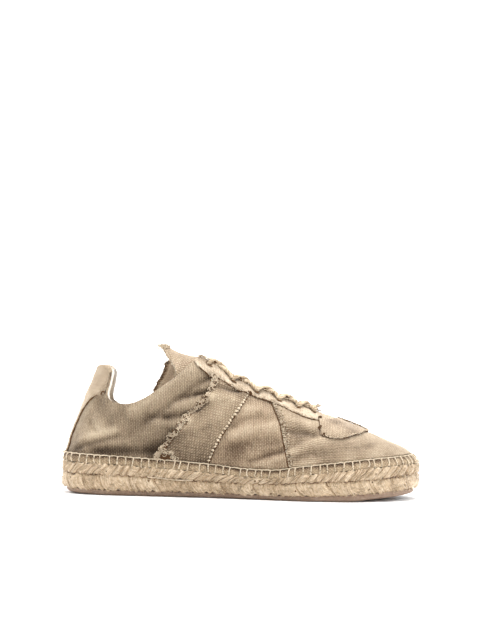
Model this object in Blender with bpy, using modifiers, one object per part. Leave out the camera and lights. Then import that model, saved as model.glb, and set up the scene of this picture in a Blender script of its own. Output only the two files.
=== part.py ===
"""Espadrille sneaker, right shoe: plaited jute sole, canvas upper with overlays, laced throat.

+X points to the toe, +Y to the medial side and +Z up. Shapes are worked out in millimetres from the
heel end of the sole, and centre_on_base() then puts the origin under the middle of the shoe.
"""

import math

import bmesh
import bpy
import numpy as np
from mathutils import Vector

MM = 0.001

# Driving sizes, in millimetres
SOLE_LENGTH = 288.0
BALL_WIDTH = 100.0
INSTEP_HEIGHT = 110.0  # top corner of the throat above the floor
HEEL_HEIGHT = 102.0  # top of the heel tab above the floor

UPPER_WALL = 1.6
OVERLAY = 1.2  # thickness of a band, strip or panel laid on the upper
GAP = 0.3  # between pieces that touch on the real shoe
LAID_GAP = 0.65  # between the upper and what is laid on it, less by what their facets sag
BUTT_GAP = 1.0  # between two overlays laid side by side
TONGUE_WALL = 2.0
INSOLE_THICKNESS = 4.0

OUTSOLE_INSET = 4.0  # from the edge of the jute
RAND_INSET = 0.8
RAND_THICKNESS = 2.2
STRAND_PITCH = 7.2  # along the edge of the plait
STRAND_RELIEF = 0.9
STRAND_SLANT = 2.4  # how far a strand runs along the edge from the groove to its course's rim
COURSE_GROOVE = 1.9

LACE_RADIUS = 2.0
LACE_RISE = 0.8  # of a run's middle above the throat's edges
LACE_STAGGER = 0.3  # the runs from one side lie higher by this, and those from the other side lower
EYELET_EDGE = 5.0  # from the throat's edge to an eyelet
EYELET_STAGGER = 0.4  # the same for how far from the edge a run ends
EYELET_ANGLES = (84.0, 90.0, 96.0, 102.0, 108.0, 114.0)  # heel-to-toe angle of each eyelet's rib

WELD = 0.002  # points nearer than this are one

LATERAL = -1
MEDIAL = 1
SIDES = (LATERAL, MEDIAL)


def columns(names, rows, **sizes):
    """The table's columns by name. A size named for a column turns its percents into millimetres."""
    data = np.array(rows, float).T
    return {n: d * sizes.get(n, 100.0) / 100.0 for n, d in zip(names.split(), data)}


def smooth(knots, values, at):
    """A curve through the values with no overshoot: cubic pieces with limited slopes."""
    step = np.diff(knots)
    rise = np.diff(values) / step
    before, after = rise[:-1], rise[1:]
    same_way = before * after > 0
    total = np.where(same_way, before + after, 1.0)
    inner = np.where(same_way, 2.0 * before * after / total, 0.0)
    slope = np.concatenate([rise[:1], inner, rise[-1:]])
    at = np.clip(at, knots[0], knots[-1])
    i = np.clip(np.searchsorted(knots, at, side="right") - 1, 0, len(step) - 1)
    h = step[i]
    u = (at - knots[i]) / h
    start = (1 + 2 * u) * (1 - u) ** 2 * values[i] + u * (1 - u) ** 2 * h * slope[i]
    end = u * u * (3 - 2 * u) * values[i + 1] + u * u * (u - 1) * h * slope[i + 1]
    return start + end


# Outline of the sole: the centre line's offset to the medial side and the half width
PLAN = columns(
    "x centre half",
    (
        (0.0, 0.0, 0.0),
        (3.8, 0.0, 23.5),
        (13.0, 0.5, 32.3),
        (28.0, -0.5, 33.6),
        (40.0, -3.5, 33.4),
        (53.0, -4.5, 38.2),
        (63.0, -3.0, 44.8),
        (71.0, -1.0, 49.3),
        (78.0, 1.5, 50.0),
        (86.5, 4.0, 44.6),
        (91.7, 5.5, 37.6),
        (95.2, 6.5, 30.3),
        (98.3, 7.5, 18.6),
        (100.0, 8.0, 0.0),
    ),
    x=SOLE_LENGTH,
    centre=BALL_WIDTH,
    half=BALL_WIDTH,
)

# Heights up the sole's side, and how far the rand leans in over its height
SIDE = columns(
    "x floor jute groove rand top lean",
    (
        (0.0, 1.6, 5.2, 17.0, 26.0, 32.4, 0.0),
        (7.0, 0.5, 4.3, 16.4, 25.2, 31.6, 0.1),
        (15.0, 0.0, 4.0, 16.0, 24.4, 30.8, 0.3),
        (28.0, 0.0, 3.8, 14.6, 22.5, 28.8, 0.6),
        (40.0, 0.4, 3.9, 13.0, 20.3, 26.6, 1.0),
        (52.0, 0.4, 3.7, 12.4, 17.6, 23.4, 1.3),
        (57.5, 0.2, 3.6, 12.5, 17.4, 23.2, 1.4),
        (66.0, 0.0, 3.8, 14.4, 20.4, 26.6, 1.7),
        (77.0, 0.0, 5.0, 15.8, 24.0, 30.4, 2.1),
        (87.0, 2.2, 6.8, 17.8, 27.2, 33.4, 2.8),
        (94.0, 4.0, 8.5, 20.0, 28.6, 34.7, 3.6),
        (100.0, 5.6, 9.8, 21.4, 29.6, 35.6, 4.4),
    ),
    x=SOLE_LENGTH,
)

# Line over the top of the foot: how far it lies to the medial side
RIDGE = columns(
    "x y",
    ((0.0, 0.0), (21.0, 0.0), (38.0, 1.0), (55.0, 3.0), (72.0, 4.5), (83.0, 6.5), (100.0, 8.0)),
    x=SOLE_LENGTH,
    y=BALL_WIDTH,
)

# Ribs of the last. Each starts on the outline at a heel-to-toe angle and ends at the collar, the
# throat or the ridge, x and half being its top end's place. flare tilts its foot outwards and crown
# tilts its top end inwards, both in degrees from upright; lift and reach are the handles' lengths.
RIB_COLUMNS = "angle x half z flare lift crown reach"
HEEL_AND_COLLAR = columns(
    RIB_COLUMNS,
    (
        (0.0, 9.6, 0.0, 98.9, -15, 24, 22, 24),
        (8.0, 10.0, 8.0, 99.6, -14, 24, 21, 24),
        (14.0, 11.3, 12.6, 100.2, -12, 24, 19, 24),
        (18.0, 12.9, 15.2, 99.3, -10, 22, 16, 22),
        (19.5, 13.4, 16.0, 96.1, -9, 21, 15, 21),
        (20.8, 12.8, 17.6, 86.8, -8, 20, 14, 20),
        (22.0, 12.3, 19.2, 79.7, -8, 18, 14, 18),
        (24.0, 12.6, 21.4, 75.4, -7, 17, 13, 17),
        (27.0, 13.9, 23.2, 72.4, -5, 16, 12, 16),
        (31.0, 15.4, 25.0, 70.8, -3, 16, 12, 16),
        (38.0, 18.0, 27.0, 70.6, 0, 15, 12, 14),
        (45.0, 20.3, 28.2, 72.0, 4, 15, 12, 14),
        (52.0, 23.1, 28.8, 75.7, 6, 16, 14, 16),
        (58.0, 26.0, 28.4, 81.1, 8, 18, 18, 18),
        (64.0, 29.2, 27.2, 87.6, 8, 21, 22, 20),
        (70.0, 32.1, 25.0, 94.0, 8, 24, 29, 22),
        (75.0, 34.2, 22.0, 99.7, 8, 28, 35, 23),
        (79.0, 35.9, 18.3, 104.2, 7, 31, 41, 24),
    ),
    x=SOLE_LENGTH,
    half=BALL_WIDTH,
    z=HEEL_HEIGHT,
)
THROAT_AND_TOE = columns(
    RIB_COLUMNS,
    (
        (82.0, 37.8, 14.5, 99.6, 6, 32, 46, 25),
        (85.0, 40.3, 13.6, 96.5, 6, 32, 50, 26),
        (90.0, 46.2, 12.6, 86.1, 5, 30, 56, 25),
        (95.0, 52.1, 11.8, 79.1, 4, 28, 60, 24),
        (100.0, 57.6, 11.2, 73.9, 3, 26, 63, 23),
        (105.0, 62.5, 10.6, 69.0, 2, 24, 66, 23),
        (110.0, 66.7, 9.4, 65.0, 1, 22, 71, 24),
        (114.0, 69.6, 7.0, 62.4, 0, 21, 77, 26),
        (117.0, 71.4, 3.6, 60.7, -1, 20, 83, 27),
        (119.0, 72.0, 0.0, 60.0, -2, 20, 87, 28),
        (122.0, 73.3, 0.0, 58.8, -3, 19, 87, 28),
        (127.0, 75.3, 0.0, 56.9, -6, 18, 84, 28),
        (133.0, 77.8, 0.0, 54.7, -10, 16, 81, 27),
        (140.0, 80.0, 0.0, 52.6, -17, 14, 77, 25),
        (150.0, 82.3, 0.0, 50.4, -28, 12, 72, 21),
        (160.0, 83.6, 0.0, 48.9, -38, 10, 67, 17),
        (170.0, 84.2, 0.0, 48.2, -44, 9, 65, 15),
        (180.0, 84.4, 0.0, 48.0, -46, 8, 65, 14),
    ),
    x=SOLE_LENGTH,
    half=BALL_WIDTH,
    z=INSTEP_HEIGHT,
)
RIBS = {n: np.concatenate([HEEL_AND_COLLAR[n], THROAT_AND_TOE[n]]) for n in RIB_COLUMNS.split()}
TAB_ANGLE = 19.5  # rib angles of the heel tab's edge and of the throat's top corner and closed end
THROAT_TOP = 81.0
THROAT_END = 119.0

# How much lower than the lateral side the collar runs on the medial side
MEDIAL_DROP = columns("angle drop", ((20, 0), (30, 1.5), (62, 1.5), (80, 0)))

# Seams as seen from the side, from the bottom up
BAND_REAR = columns("z x", ((26, 75), (40, 85), (55, 96), (68, 106), (80, 117.5), (95, 123)))
BAND_FRONT = columns("z x", ((26, 117.5), (40, 123.3), (53, 130.3), (74, 143.7), (87, 151.5)))
VAMP_REAR = columns("z x", ((26, 181), (44, 176.8), (58, 173.6), (73, 167.3), (80, 162)))
# Lower edges as seen from the side, from the rear forward
EYESTAY_EDGE = columns(
    "x z",
    ((100, 110.8), (106, 103), (120, 94.9), (141, 83.8), (170, 73), (205, 60.9), (224, 60.6)),
)
TOE_EDGE = columns("x z", ((200, 50.6), (208, 49), (219, 47.6), (234, 50.6), (246, 52.4), (256, 53.2)))
# Half width of the heel strip, as a rib angle, against the height up the rib
HEEL_STRIP_EDGE = columns(
    "v angle",
    ((0, 9.5), (0.35, 10.5), (0.5, 12.5), (0.62, 16), (0.72, TAB_ANGLE), (1, TAB_ANGLE)),
)

# The tongue's free end, from its lateral to its medial edge, with the raised tip between
TONGUE_END = columns(
    "x y z",
    (
        (92.0, -22.0, 92.5),
        (88.5, -18.0, 101.0),
        (84.8, -13.0, 109.0),
        (79.4, -8.5, 116.2),
        (81.8, -2.5, 118.3),
        (83.8, 4.0, 110.5),
        (80.5, 11.0, 103.0),
        (76.0, 18.0, 93.0),
        (70.5, 23.0, 81.8),
    ),
)
TONGUE_EDGE = 0.80  # share of a rib's height where the tongue's edge lies
TONGUE_ARCH = 0.1  # rise of its middle over the throat, as a share of the throat's width
TONGUE_DIP = 1.8  # how far its free part sags between the throat and its end

# Where ribs and rings are placed
HEEL_ANGLES = (0, 4, 8, 11, 14, 16, 18, 19.5, 20.8, 22, 24, 27, 31, 36)
QUARTER_ANGLES = (41, 46, 51, 56, 61, 66, 71, 75, 78, 81, 84, 88, 92, 96, 100, 104, 108, 111)
VAMP_END_ANGLES = (113.5, 116, 118, 119, 122, 126, 130, 135, 140, 146, 152, 159, 166, 173, 180)
UPPER_ANGLES = np.array(HEEL_ANGLES + QUARTER_ANGLES + VAMP_END_ANGLES, float)
UPPER_ROWS = 6
OUTSOLE_POINTS = 80
INSOLE_POINTS = 64
VAMP_ANGLES = np.array((118, 119, 122, 126, 129.9, 131, 135, 140, 146, 152, 159, 166, 173, 180.0))
TOE_ANGLES = np.array((115.5, 119, 122, 126, 129.9, 131, 135, 140, 146, 152, 159, 166, 173, 180.0))
EYESTAY_END = 130.5
EDGE_ANGLES = np.linspace(80.0, 180.0, 201)
OUTLINE_ANGLES = np.linspace(0.0, 180.0, 361)
TONGUE_ANGLES = (116.5, 113.0, 109.0, 105.0, 100.0, 95.0, 90.0, 86.0, 82.0)


def heel_to_toe(angle):
    """Distance from the heel end for an angle that runs from 0 at the heel to 180 at the toe."""
    return SOLE_LENGTH / 2 * (1 - np.cos(np.radians(angle)))


PLAN_ANGLES = np.degrees(np.arccos(1 - 2 * PLAN["x"] / SOLE_LENGTH))


def plan_point(angle, side):
    """Point of the sole's outline; an angle just past either end lies on the other side."""
    angle = np.asarray(angle, float)
    folded = 180.0 - np.abs(180.0 - np.abs(angle))
    crossed = np.where((angle < 0) | (angle > 180), -1.0, 1.0)
    half = smooth(PLAN_ANGLES, PLAN["half"], folded)
    y = smooth(PLAN_ANGLES, PLAN["centre"], folded) + side * crossed * half
    return np.stack([heel_to_toe(folded), y], axis=-1)


def outline(angle, side, inset=0.0):
    """Points of the sole's outline on one side, moved inwards along its normal."""
    along = plan_point(np.asarray(angle) + 1.0, side) - plan_point(np.asarray(angle) - 1.0, side)
    along /= np.linalg.norm(along, axis=-1, keepdims=True)
    inwards = np.stack([along[..., 1], -along[..., 0]], axis=-1) * side
    return plan_point(angle, side) + inwards * np.asarray(inset, float)[..., None]


def side_height(name, x):
    return smooth(SIDE["x"], SIDE[name], x)


def ridge_y(x):
    return smooth(RIDGE["x"], RIDGE["y"], x)


def upper_inset(x):
    return RAND_INSET + RAND_THICKNESS + GAP + side_height("lean", x)


def rib(angle, side, v):
    """Point at share v of the height of the rib at this angle, on the upper's outer face."""
    angle, v = np.broadcast_arrays(np.asarray(angle, float), np.asarray(v, float))
    row = {n: smooth(RIBS["angle"], RIBS[n], angle) for n in RIBS if n != "angle"}
    x = heel_to_toe(angle)
    foot = outline(angle, side, upper_inset(x))
    base = np.stack([foot[..., 0], foot[..., 1], side_height("top", x) + GAP], axis=-1)
    drop = smooth(MEDIAL_DROP["angle"], MEDIAL_DROP["drop"], angle) * (side == MEDIAL)
    top = np.stack([row["x"], ridge_y(row["x"]) + side * row["half"], row["z"] - drop], axis=-1)
    inwards = top - base
    inwards[..., 2] = 0
    inwards /= np.linalg.norm(inwards, axis=-1, keepdims=True)
    up = np.array([0.0, 0.0, 1.0])
    flare = np.radians(row["flare"])[..., None]
    crown = np.radians(row["crown"])[..., None]
    first = base + row["lift"][..., None] * (up * np.cos(flare) - inwards * np.sin(flare))
    last = top - row["reach"][..., None] * (up * np.cos(crown) + inwards * np.sin(crown))
    v = v[..., None]
    w = 1 - v
    return w**3 * base + 3 * w * w * v * first + 3 * w * v * v * last + v**3 * top


def face_point(angle, side, v):
    """As rib(), for an angle that may run a little past the heel or the toe to the other side."""
    folded = 180.0 - np.abs(180.0 - np.abs(angle))
    crossed = ((angle < 0) | (angle > 180))[..., None]
    return np.where(crossed, rib(folded, -side, v), rib(folded, side, v))


def face_normal(angle, side, v):
    v = np.minimum(v, 0.98)
    up = rib(angle, side, v + 0.01) - rib(angle, side, np.maximum(v - 0.01, 0))
    along = face_point(angle + 0.5, side, v) - face_point(angle - 0.5, side, v)
    normal = np.cross(along, up) * -side
    return normal / np.linalg.norm(normal, axis=-1, keepdims=True)


def offset_rib(angle, side, v, out):
    """The rib's point moved out along the upper's normal, or in where out is below zero. On the
    ridge both sides share one normal."""
    angle, v = np.broadcast_arrays(np.asarray(angle, float), np.asarray(v, float))
    normal = face_normal(angle, side, v)
    on_ridge = ((v >= 1) & (angle >= THROAT_END))[..., None]
    normal = normal + np.where(on_ridge, face_normal(angle, -side, v), 0)
    normal /= np.linalg.norm(normal, axis=-1, keepdims=True)
    return rib(angle, side, v) + normal * out


def solve(miss, low, high):
    """Where miss(values) changes sign between low and high, or the nearer end where it doesn't."""
    low, high = np.broadcast_arrays(np.asarray(low, float), np.asarray(high, float))
    at_low, at_high = miss(low), miss(high)
    nearer = np.where(np.abs(at_low) < np.abs(at_high), low, high)
    crosses = at_low * at_high <= 0
    for _ in range(24):
        middle = (low + high) / 2
        same = miss(middle) * at_low > 0
        low = np.where(same, middle, low)
        high = np.where(same, high, middle)
    return np.where(crosses, (low + high) / 2, nearer)


def height_at_edge(edge, side):
    """Share of each rib's height, at EDGE_ANGLES, where it crosses an edge seen from the side."""
    def miss(v):
        p = rib(EDGE_ANGLES, side, v)
        return p[..., 2] - smooth(edge["x"], edge["z"], p[..., 0])

    return solve(miss, np.full(len(EDGE_ANGLES), 0.05), 1.0)


def share_for_length(angle, side, length):
    """Share of a rib's height that a length down from its top end takes."""
    near_top = 0.85
    step = np.linalg.norm(rib(angle, side, 1.0) - rib(angle, side, near_top), axis=-1)
    return (1 - near_top) * length / step


def edges_of_panels():
    """For each side, the lower edges of eyestay and toe overlay and the panels' upper limit."""
    found = {}
    for side in SIDES:
        eyestay = height_at_edge(EYESTAY_EDGE, side)
        gap = share_for_length(EDGE_ANGLES, side, BUTT_GAP)
        panel_top = np.where(EDGE_ANGLES < EYESTAY_END, eyestay - gap, 1.0)
        toe = height_at_edge(TOE_EDGE, side)
        found[side] = {"eyestay": eyestay, "panel_top": panel_top, "toe": toe}
    return found


def edge_height(name, angle, side):
    return np.interp(angle, EDGE_ANGLES, EDGES[side][name])


def angles_at_seam(seam, side, shares, low, high):
    """Rib angle where a seam seen from the side crosses each share of the panels' height."""
    def miss(angle):
        p = rib(angle, side, shares * edge_height("panel_top", angle, side))
        return p[..., 0] - smooth(seam["z"], seam["x"], p[..., 2])

    return solve(miss, np.full(len(shares), low), high)


def material(name, colour, roughness):
    made = bpy.data.materials.new(name)
    made.use_nodes = True
    shader = made.node_tree.nodes["Principled BSDF"]
    shader.inputs["Base Color"].default_value = (*colour, 1.0)
    shader.inputs["Roughness"].default_value = roughness
    shader.inputs["Metallic"].default_value = 0.0
    made.diffuse_color = (*colour, 1.0)
    return made


def mesh_of(grids):
    """Faces between the rows of each grid of points, welded where the grids meet. A grid is
    (points, whether its rows are closed rings)."""
    mesh = bmesh.new()
    for points, closed in grids:
        points = np.asarray(points) * MM
        count = points.shape[1]
        verts = [[mesh.verts.new(p) for p in row] for row in points]
        for lower, upper in zip(verts, verts[1:]):
            for j in range(count if closed else count - 1):
                k = (j + 1) % count
                mesh.faces.new((lower[j], lower[k], upper[k], upper[j]))
    bmesh.ops.remove_doubles(mesh, verts=mesh.verts, dist=WELD * MM)
    bmesh.ops.recalc_face_normals(mesh, faces=mesh.faces)
    return mesh


def add_object(name, mesh, finish):
    data = bpy.data.meshes.new(name)
    mesh.to_mesh(data)
    mesh.free()
    data.shade_smooth()
    data.set_sharp_from_angle(angle=math.radians(35))
    made = bpy.data.objects.new(name, data)
    made.data.materials.append(finish)
    SHOE.objects.link(made)
    return made


def add_shell(name, grids, finish, thickness, outwards):
    """An open surface that Solidify thickens, away from the inside of the shoe or towards it."""
    mesh = mesh_of(grids)
    facing = 0.0
    for face in mesh.faces:
        centre = face.calc_center_median()
        inside = Vector((centre.x, 0, HEEL_HEIGHT / 2 * MM))
        facing += face.calc_area() * face.normal.dot(centre - inside)
    if facing < 0:
        bmesh.ops.reverse_faces(mesh, faces=mesh.faces)
    made = add_object(name, mesh, finish)
    wall = made.modifiers.new("wall", "SOLIDIFY")
    wall.thickness = thickness * MM
    wall.offset = 1.0 if outwards else -1.0
    wall.use_even_offset = True
    return made


def loop_angles(count):
    return np.linspace(0.0, 180.0, count // 2 + 1)


def loop(angles, inset, height):
    """A ring round the sole: heel, lateral side, toe, medial side. inset and height take x."""
    x = heel_to_toe(angles)
    halves = []
    for side in SIDES:
        xy = outline(angles, side, inset(x))
        halves.append(np.column_stack([xy, height(x)]))
    return np.concatenate([halves[0], halves[1][-2:0:-1]])


def capped(rings):
    """Grids of a solid: its side, and ends made of strips from the lateral to the medial side."""
    grids = [(np.array(rings), True)]
    for ring in (rings[0], rings[-1]):
        count = len(ring)
        strips = [(ring[k], ring[(count - k) % count]) for k in range(count // 2 + 1)]
        grids.append((np.array(strips), False))
    return grids


def add_outsole(rubber):
    """A sheet with a rounded lower edge; its rings are given as inset and height over the floor."""
    angles = loop_angles(OUTSOLE_POINTS)
    rounding = ((2.4, 0.0), (0.7, 0.6), (0.0, 1.8))
    rings = [
        loop(angles, lambda x, d=d: OUTSOLE_INSET + d + 0 * x, lambda x, z=z: side_height("floor", x) + z)
        for d, z in rounding
    ]
    rings.append(loop(angles, lambda x: OUTSOLE_INSET + 0 * x, lambda x: side_height("jute", x)))
    return add_object("outsole", mesh_of(capped(rings)), rubber)


def outline_lengths():
    """Distance along the outline from the heel to each of OUTLINE_ANGLES, the mean of both sides."""
    steps = [np.linalg.norm(np.diff(outline(OUTLINE_ANGLES, side), axis=0), axis=1) for side in SIDES]
    return np.concatenate([[0.0], np.cumsum(sum(steps) / 2)])


def strand_ring(shift, inset, relief, low, high, share):
    """A ring round the jute, from the heel by the lateral side, at a share of the height between two
    of its levels. Every other point sinks by the relief, and shift moves them all along the edge."""
    length = outline_lengths()
    half = length[-1]
    count = 4 * round(half / STRAND_PITCH)
    number = np.arange(count)
    distance = (number * 2 * half / count + shift) % (2 * half)
    angle = np.interp(np.minimum(distance, 2 * half - distance), length, OUTLINE_ANGLES)
    depth = inset + relief * (number % 2)
    on_lateral = (distance <= half)[:, None]
    xy = np.where(on_lateral, outline(angle, LATERAL, depth), outline(angle, MEDIAL, depth))
    x = heel_to_toe(angle)
    z = (1 - share) * side_height(low, x) + share * side_height(high, x)
    return np.column_stack([xy, z])


def add_jute_midsole(jute):
    lower = ("jute", "groove")
    upper = ("groove", "rand")
    rings = [
        strand_ring(0.0, 1.8, 0.0, *lower, 0.0) + (0, 0, GAP),
        strand_ring(-0.8, 0.2, STRAND_RELIEF, *lower, 0.28),
        strand_ring(0.8, 0.0, STRAND_RELIEF, *lower, 0.72),
        strand_ring(0.0, COURSE_GROOVE, 0.0, *lower, 1.0),
        strand_ring(STRAND_SLANT * 0.3, 0.1, STRAND_RELIEF, *upper, 0.28),
        strand_ring(STRAND_SLANT, 0.3, STRAND_RELIEF, *upper, 0.75),
        strand_ring(0.0, 1.6, 0.0, *upper, 1.0),
    ]
    return add_object("jute_midsole", mesh_of(capped(rings)), jute)


def add_rand(canvas):
    """A closed band round the jute's top edge, leaning in over its height. Its section is given as
    inset, share of the lean, share of the height and lift off the jute."""
    inner = RAND_INSET + RAND_THICKNESS
    section = (
        (RAND_INSET, 0.0, 0.0, GAP),
        (RAND_INSET - 0.3, 0.5, 0.6, 0.0),
        (RAND_INSET + 0.6, 1.0, 1.0, 0.0),
        (inner, 1.0, 0.97, 0.0),
        (inner, 1.0, 0.0, GAP),
    )
    rings = []
    for inset, lean, share, lift in section:
        rings.append(
            loop(
                UPPER_ANGLES,
                lambda x: inset + lean * side_height("lean", x),
                lambda x: (1 - share) * side_height("rand", x) + share * side_height("top", x) + lift,
            )
        )
    rings.append(rings[0])
    return add_object("rand", mesh_of([(np.array(rings), True)]), canvas)


def add_insole(cotton):
    angles = loop_angles(INSOLE_POINTS)
    edge = UPPER_WALL + 0.4
    rows = ((0.0, 0.0), (0.0, INSOLE_THICKNESS - 1.0), (1.0, INSOLE_THICKNESS))
    rings = [
        loop(
            angles,
            lambda x, d=d: upper_inset(x) + edge + d,
            lambda x, z=z: side_height("rand", x) + GAP + z,
        )
        for d, z in rows
    ]
    return add_object("insole", mesh_of(capped(rings)), cotton)


def add_upper(canvas):
    """The hollow shell: an upright hem inside the rand, then the ribs up to collar and ridge."""
    heights = np.linspace(0.0, 1.0, UPPER_ROWS + 1)
    x = heel_to_toe(UPPER_ANGLES)
    grids = []
    for side in SIDES:
        foot = outline(UPPER_ANGLES, side, upper_inset(x))
        hem = np.column_stack([foot, side_height("rand", x) + GAP])
        rows = [hem] + [rib(UPPER_ANGLES, side, v) for v in heights]
        grids.append((np.array(rows), False))
    return add_shell("upper", grids, canvas, UPPER_WALL, outwards=False)


def patch(angles, side, low, high, rows, off):
    """Grid off the upper's face, between two heights up each rib."""
    v = low + (high - low) * np.linspace(0.0, 1.0, rows + 1)[:, None]
    return offset_rib(np.broadcast_to(angles, v.shape), side, v, off), False


def add_heel_strip(canvas):
    """Strip over the back of the heel, as wide as the tab at its top, with closer rows where it
    widens."""
    widening = (0.58, 0.75)
    heights = np.union1d(np.linspace(0.0, 1.0, UPPER_ROWS + 1), widening)[:, None]
    across = UPPER_ANGLES[UPPER_ANGLES <= TAB_ANGLE] / TAB_ANGLE
    angles = smooth(HEEL_STRIP_EDGE["v"], HEEL_STRIP_EDGE["angle"], heights) * across
    grids = [(offset_rib(angles, side, heights, LAID_GAP), False) for side in SIDES]
    return add_shell("heel_strip", grids, canvas, OVERLAY, outwards=True)


def between(rear, front, across):
    """Rib angles spread between two seams: a row for each height, a column for each share."""
    return rear[:, None] + (front - rear)[:, None] * across


def panel_grid(side, shares, angles):
    """Grid off the upper's face, from the rand up to the eyestay or the ridge."""
    v = shares[:, None] * edge_height("panel_top", angles, side)
    return offset_rib(angles, side, v, LAID_GAP), False


def add_band(side, name, canvas):
    """Slanting side band between its two seams."""
    shares = np.linspace(0.0, 1.0, 10)
    rear = angles_at_seam(BAND_REAR, side, shares, 55.0, 100.0)
    front = angles_at_seam(BAND_FRONT, side, shares, 65.0, 110.0)
    grid = panel_grid(side, shares, between(rear, front, np.linspace(0.0, 1.0, 7)))
    return add_shell(name, [grid], canvas, OVERLAY, outwards=True)


def add_vamp_panel(canvas):
    """Front panel from its rear seams round the toe."""
    shares = np.linspace(0.0, 1.0, UPPER_ROWS + 1)
    ahead = np.broadcast_to(VAMP_ANGLES[1:], (len(shares), len(VAMP_ANGLES) - 1))
    grids = []
    for side in SIDES:
        rear = angles_at_seam(VAMP_REAR, side, shares, 85.0, 117.0)
        behind = between(rear, VAMP_ANGLES[0], np.linspace(0.0, 1.0, 5))
        grids.append(panel_grid(side, shares, np.hstack([behind, ahead])))
    return add_shell("vamp_panel", grids, canvas, OVERLAY, outwards=True)


def add_toe_overlay(canvas):
    """Arrow-shaped piece over the top of the toe, its tip on the ridge."""
    grids = []
    for side in SIDES:
        low = edge_height("toe", TOE_ANGLES, side)
        high = np.where(TOE_ANGLES < EYESTAY_END, edge_height("panel_top", TOE_ANGLES, side), 1.0)
        grids.append(patch(TOE_ANGLES, side, low, high, 5, LAID_GAP + OVERLAY + 1.5 * GAP))
    return add_shell("toe_overlay", grids, canvas, OVERLAY, outwards=True)


def add_eyestay(canvas):
    """U-shaped strip along both edges of the throat and round its closed end."""
    angles = UPPER_ANGLES[(UPPER_ANGLES >= THROAT_TOP) & (UPPER_ANGLES < EYESTAY_END)]
    grids = [patch(angles, side, edge_height("eyestay", angles, side), 1.0, 3, LAID_GAP) for side in SIDES]
    return add_shell("eyestay", grids, canvas, OVERLAY, outwards=True)


def tongue_row(angle):
    """The tongue across the throat: under the upper at its edges, arched between them."""
    depth = -(UPPER_WALL + LAID_GAP + 2 * GAP)
    edges = {
        side: [offset_rib(angle, side, v, depth) for v in (TONGUE_EDGE, (1 + TONGUE_EDGE) / 2, 1.0)]
        for side in SIDES
    }
    left, right = edges[LATERAL][-1], edges[MEDIAL][-1]
    rise = TONGUE_ARCH * abs(right[1] - left[1])
    arch = []
    for share in (0.25, 0.5, 0.75):
        p = left + (right - left) * share
        p[2] += rise * (1 - (2 * share - 1) ** 2)
        arch.append(p)
    return np.array(edges[LATERAL] + arch + edges[MEDIAL][::-1])


def add_tongue(canvas):
    """From under the vamp up the throat, then free above it to a raised tip."""
    rows = [tongue_row(angle) for angle in TONGUE_ANGLES]
    end = np.column_stack([TONGUE_END["x"], TONGUE_END["y"], TONGUE_END["z"]])
    for share in (0.25, 0.5, 0.75, 1.0):
        dip = (0.0, 0.0, TONGUE_DIP * math.sin(math.pi * share))
        rows.append(tongue_row(TONGUE_ANGLES[-1]) * (1 - share) + end * share - dip)
    return add_shell("tongue", [(np.array(rows), False)], canvas, TONGUE_WALL, outwards=False)


def lace_run(first, second, start_side):
    """Points of one run of lace over the throat, between two eyelet ribs on opposite sides."""
    out = LAID_GAP + OVERLAY + 2 * GAP + LACE_RADIUS
    ends = []
    for angle, side, over in ((first, start_side, 0.2), (second, -start_side, 0.8)):
        v = 1 - share_for_length(angle, side, EYELET_EDGE + EYELET_STAGGER * start_side)
        crossing = first + (second - first) * over
        ends.append((offset_rib(angle, side, v, out), offset_rib(crossing, side, 1.0, out)))
    (start, near), (stop, far) = ends
    middle = (near + far) / 2 + (0, 0, LACE_RISE + LACE_STAGGER * start_side)
    return [start, near, middle, far, stop]


def add_tube(name, points, finish):
    """A cord along the points, as a mesh."""
    curve = bpy.data.curves.new(name, "CURVE")
    curve.dimensions = "3D"
    curve.bevel_depth = LACE_RADIUS * MM
    curve.bevel_resolution = 1
    curve.use_fill_caps = True
    spline = curve.splines.new("POLY")
    spline.points.add(len(points) - 1)
    for point, p in zip(spline.points, points):
        point.co = (*(np.asarray(p) * MM), 1.0)
    guide = bpy.data.objects.new(name + "_guide", curve)
    SHOE.objects.link(guide)
    graph = bpy.context.evaluated_depsgraph_get()
    data = bpy.data.meshes.new_from_object(guide.evaluated_get(graph))
    bpy.data.objects.remove(guide)
    mesh = bmesh.new()
    mesh.from_mesh(data)
    bmesh.ops.remove_doubles(mesh, verts=mesh.verts, dist=WELD * MM)
    bmesh.ops.recalc_face_normals(mesh, faces=mesh.faces)
    return add_object(name, mesh, finish)


def add_lace(cotton):
    """Crossed runs between neighbouring eyelets and one straight run at the front, joined."""
    runs = [lace_run(EYELET_ANGLES[-1], EYELET_ANGLES[-1], LATERAL)]
    for upper_angle, lower_angle in zip(EYELET_ANGLES, EYELET_ANGLES[1:]):
        runs.extend(lace_run(lower_angle, upper_angle, side) for side in SIDES)
    lace = add_tube("lace", runs[0], cotton)
    for number, run in enumerate(runs[1:]):
        cutter = add_tube(f"lace_run_{number}", run, cotton)
        SHOE.objects.unlink(cutter)
        HELPERS.objects.link(cutter)
        cutter.hide_render = True
        cutter.display_type = "WIRE"
        join = lace.modifiers.new(cutter.name, "BOOLEAN")
        join.operation = "UNION"
        join.object = cutter
    return lace


def centre_on_base(pieces):
    """Moves all pieces so that the origin lies on the floor under the middle of the shoe."""
    corners = np.array([v.co for piece in pieces for v in piece.data.vertices])
    middle = (corners.min(axis=0) + corners.max(axis=0)) / 2
    for piece in pieces:
        piece.location = (-middle[0], -middle[1], 0.0)
        piece.select_set(False)


for old in list(bpy.data.objects):
    bpy.data.objects.remove(old)
SHOE = bpy.data.collections.new("espadrille_sneaker")
HELPERS = bpy.data.collections.new("helpers")
for group in (SHOE, HELPERS):
    bpy.context.scene.collection.children.link(group)

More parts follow.
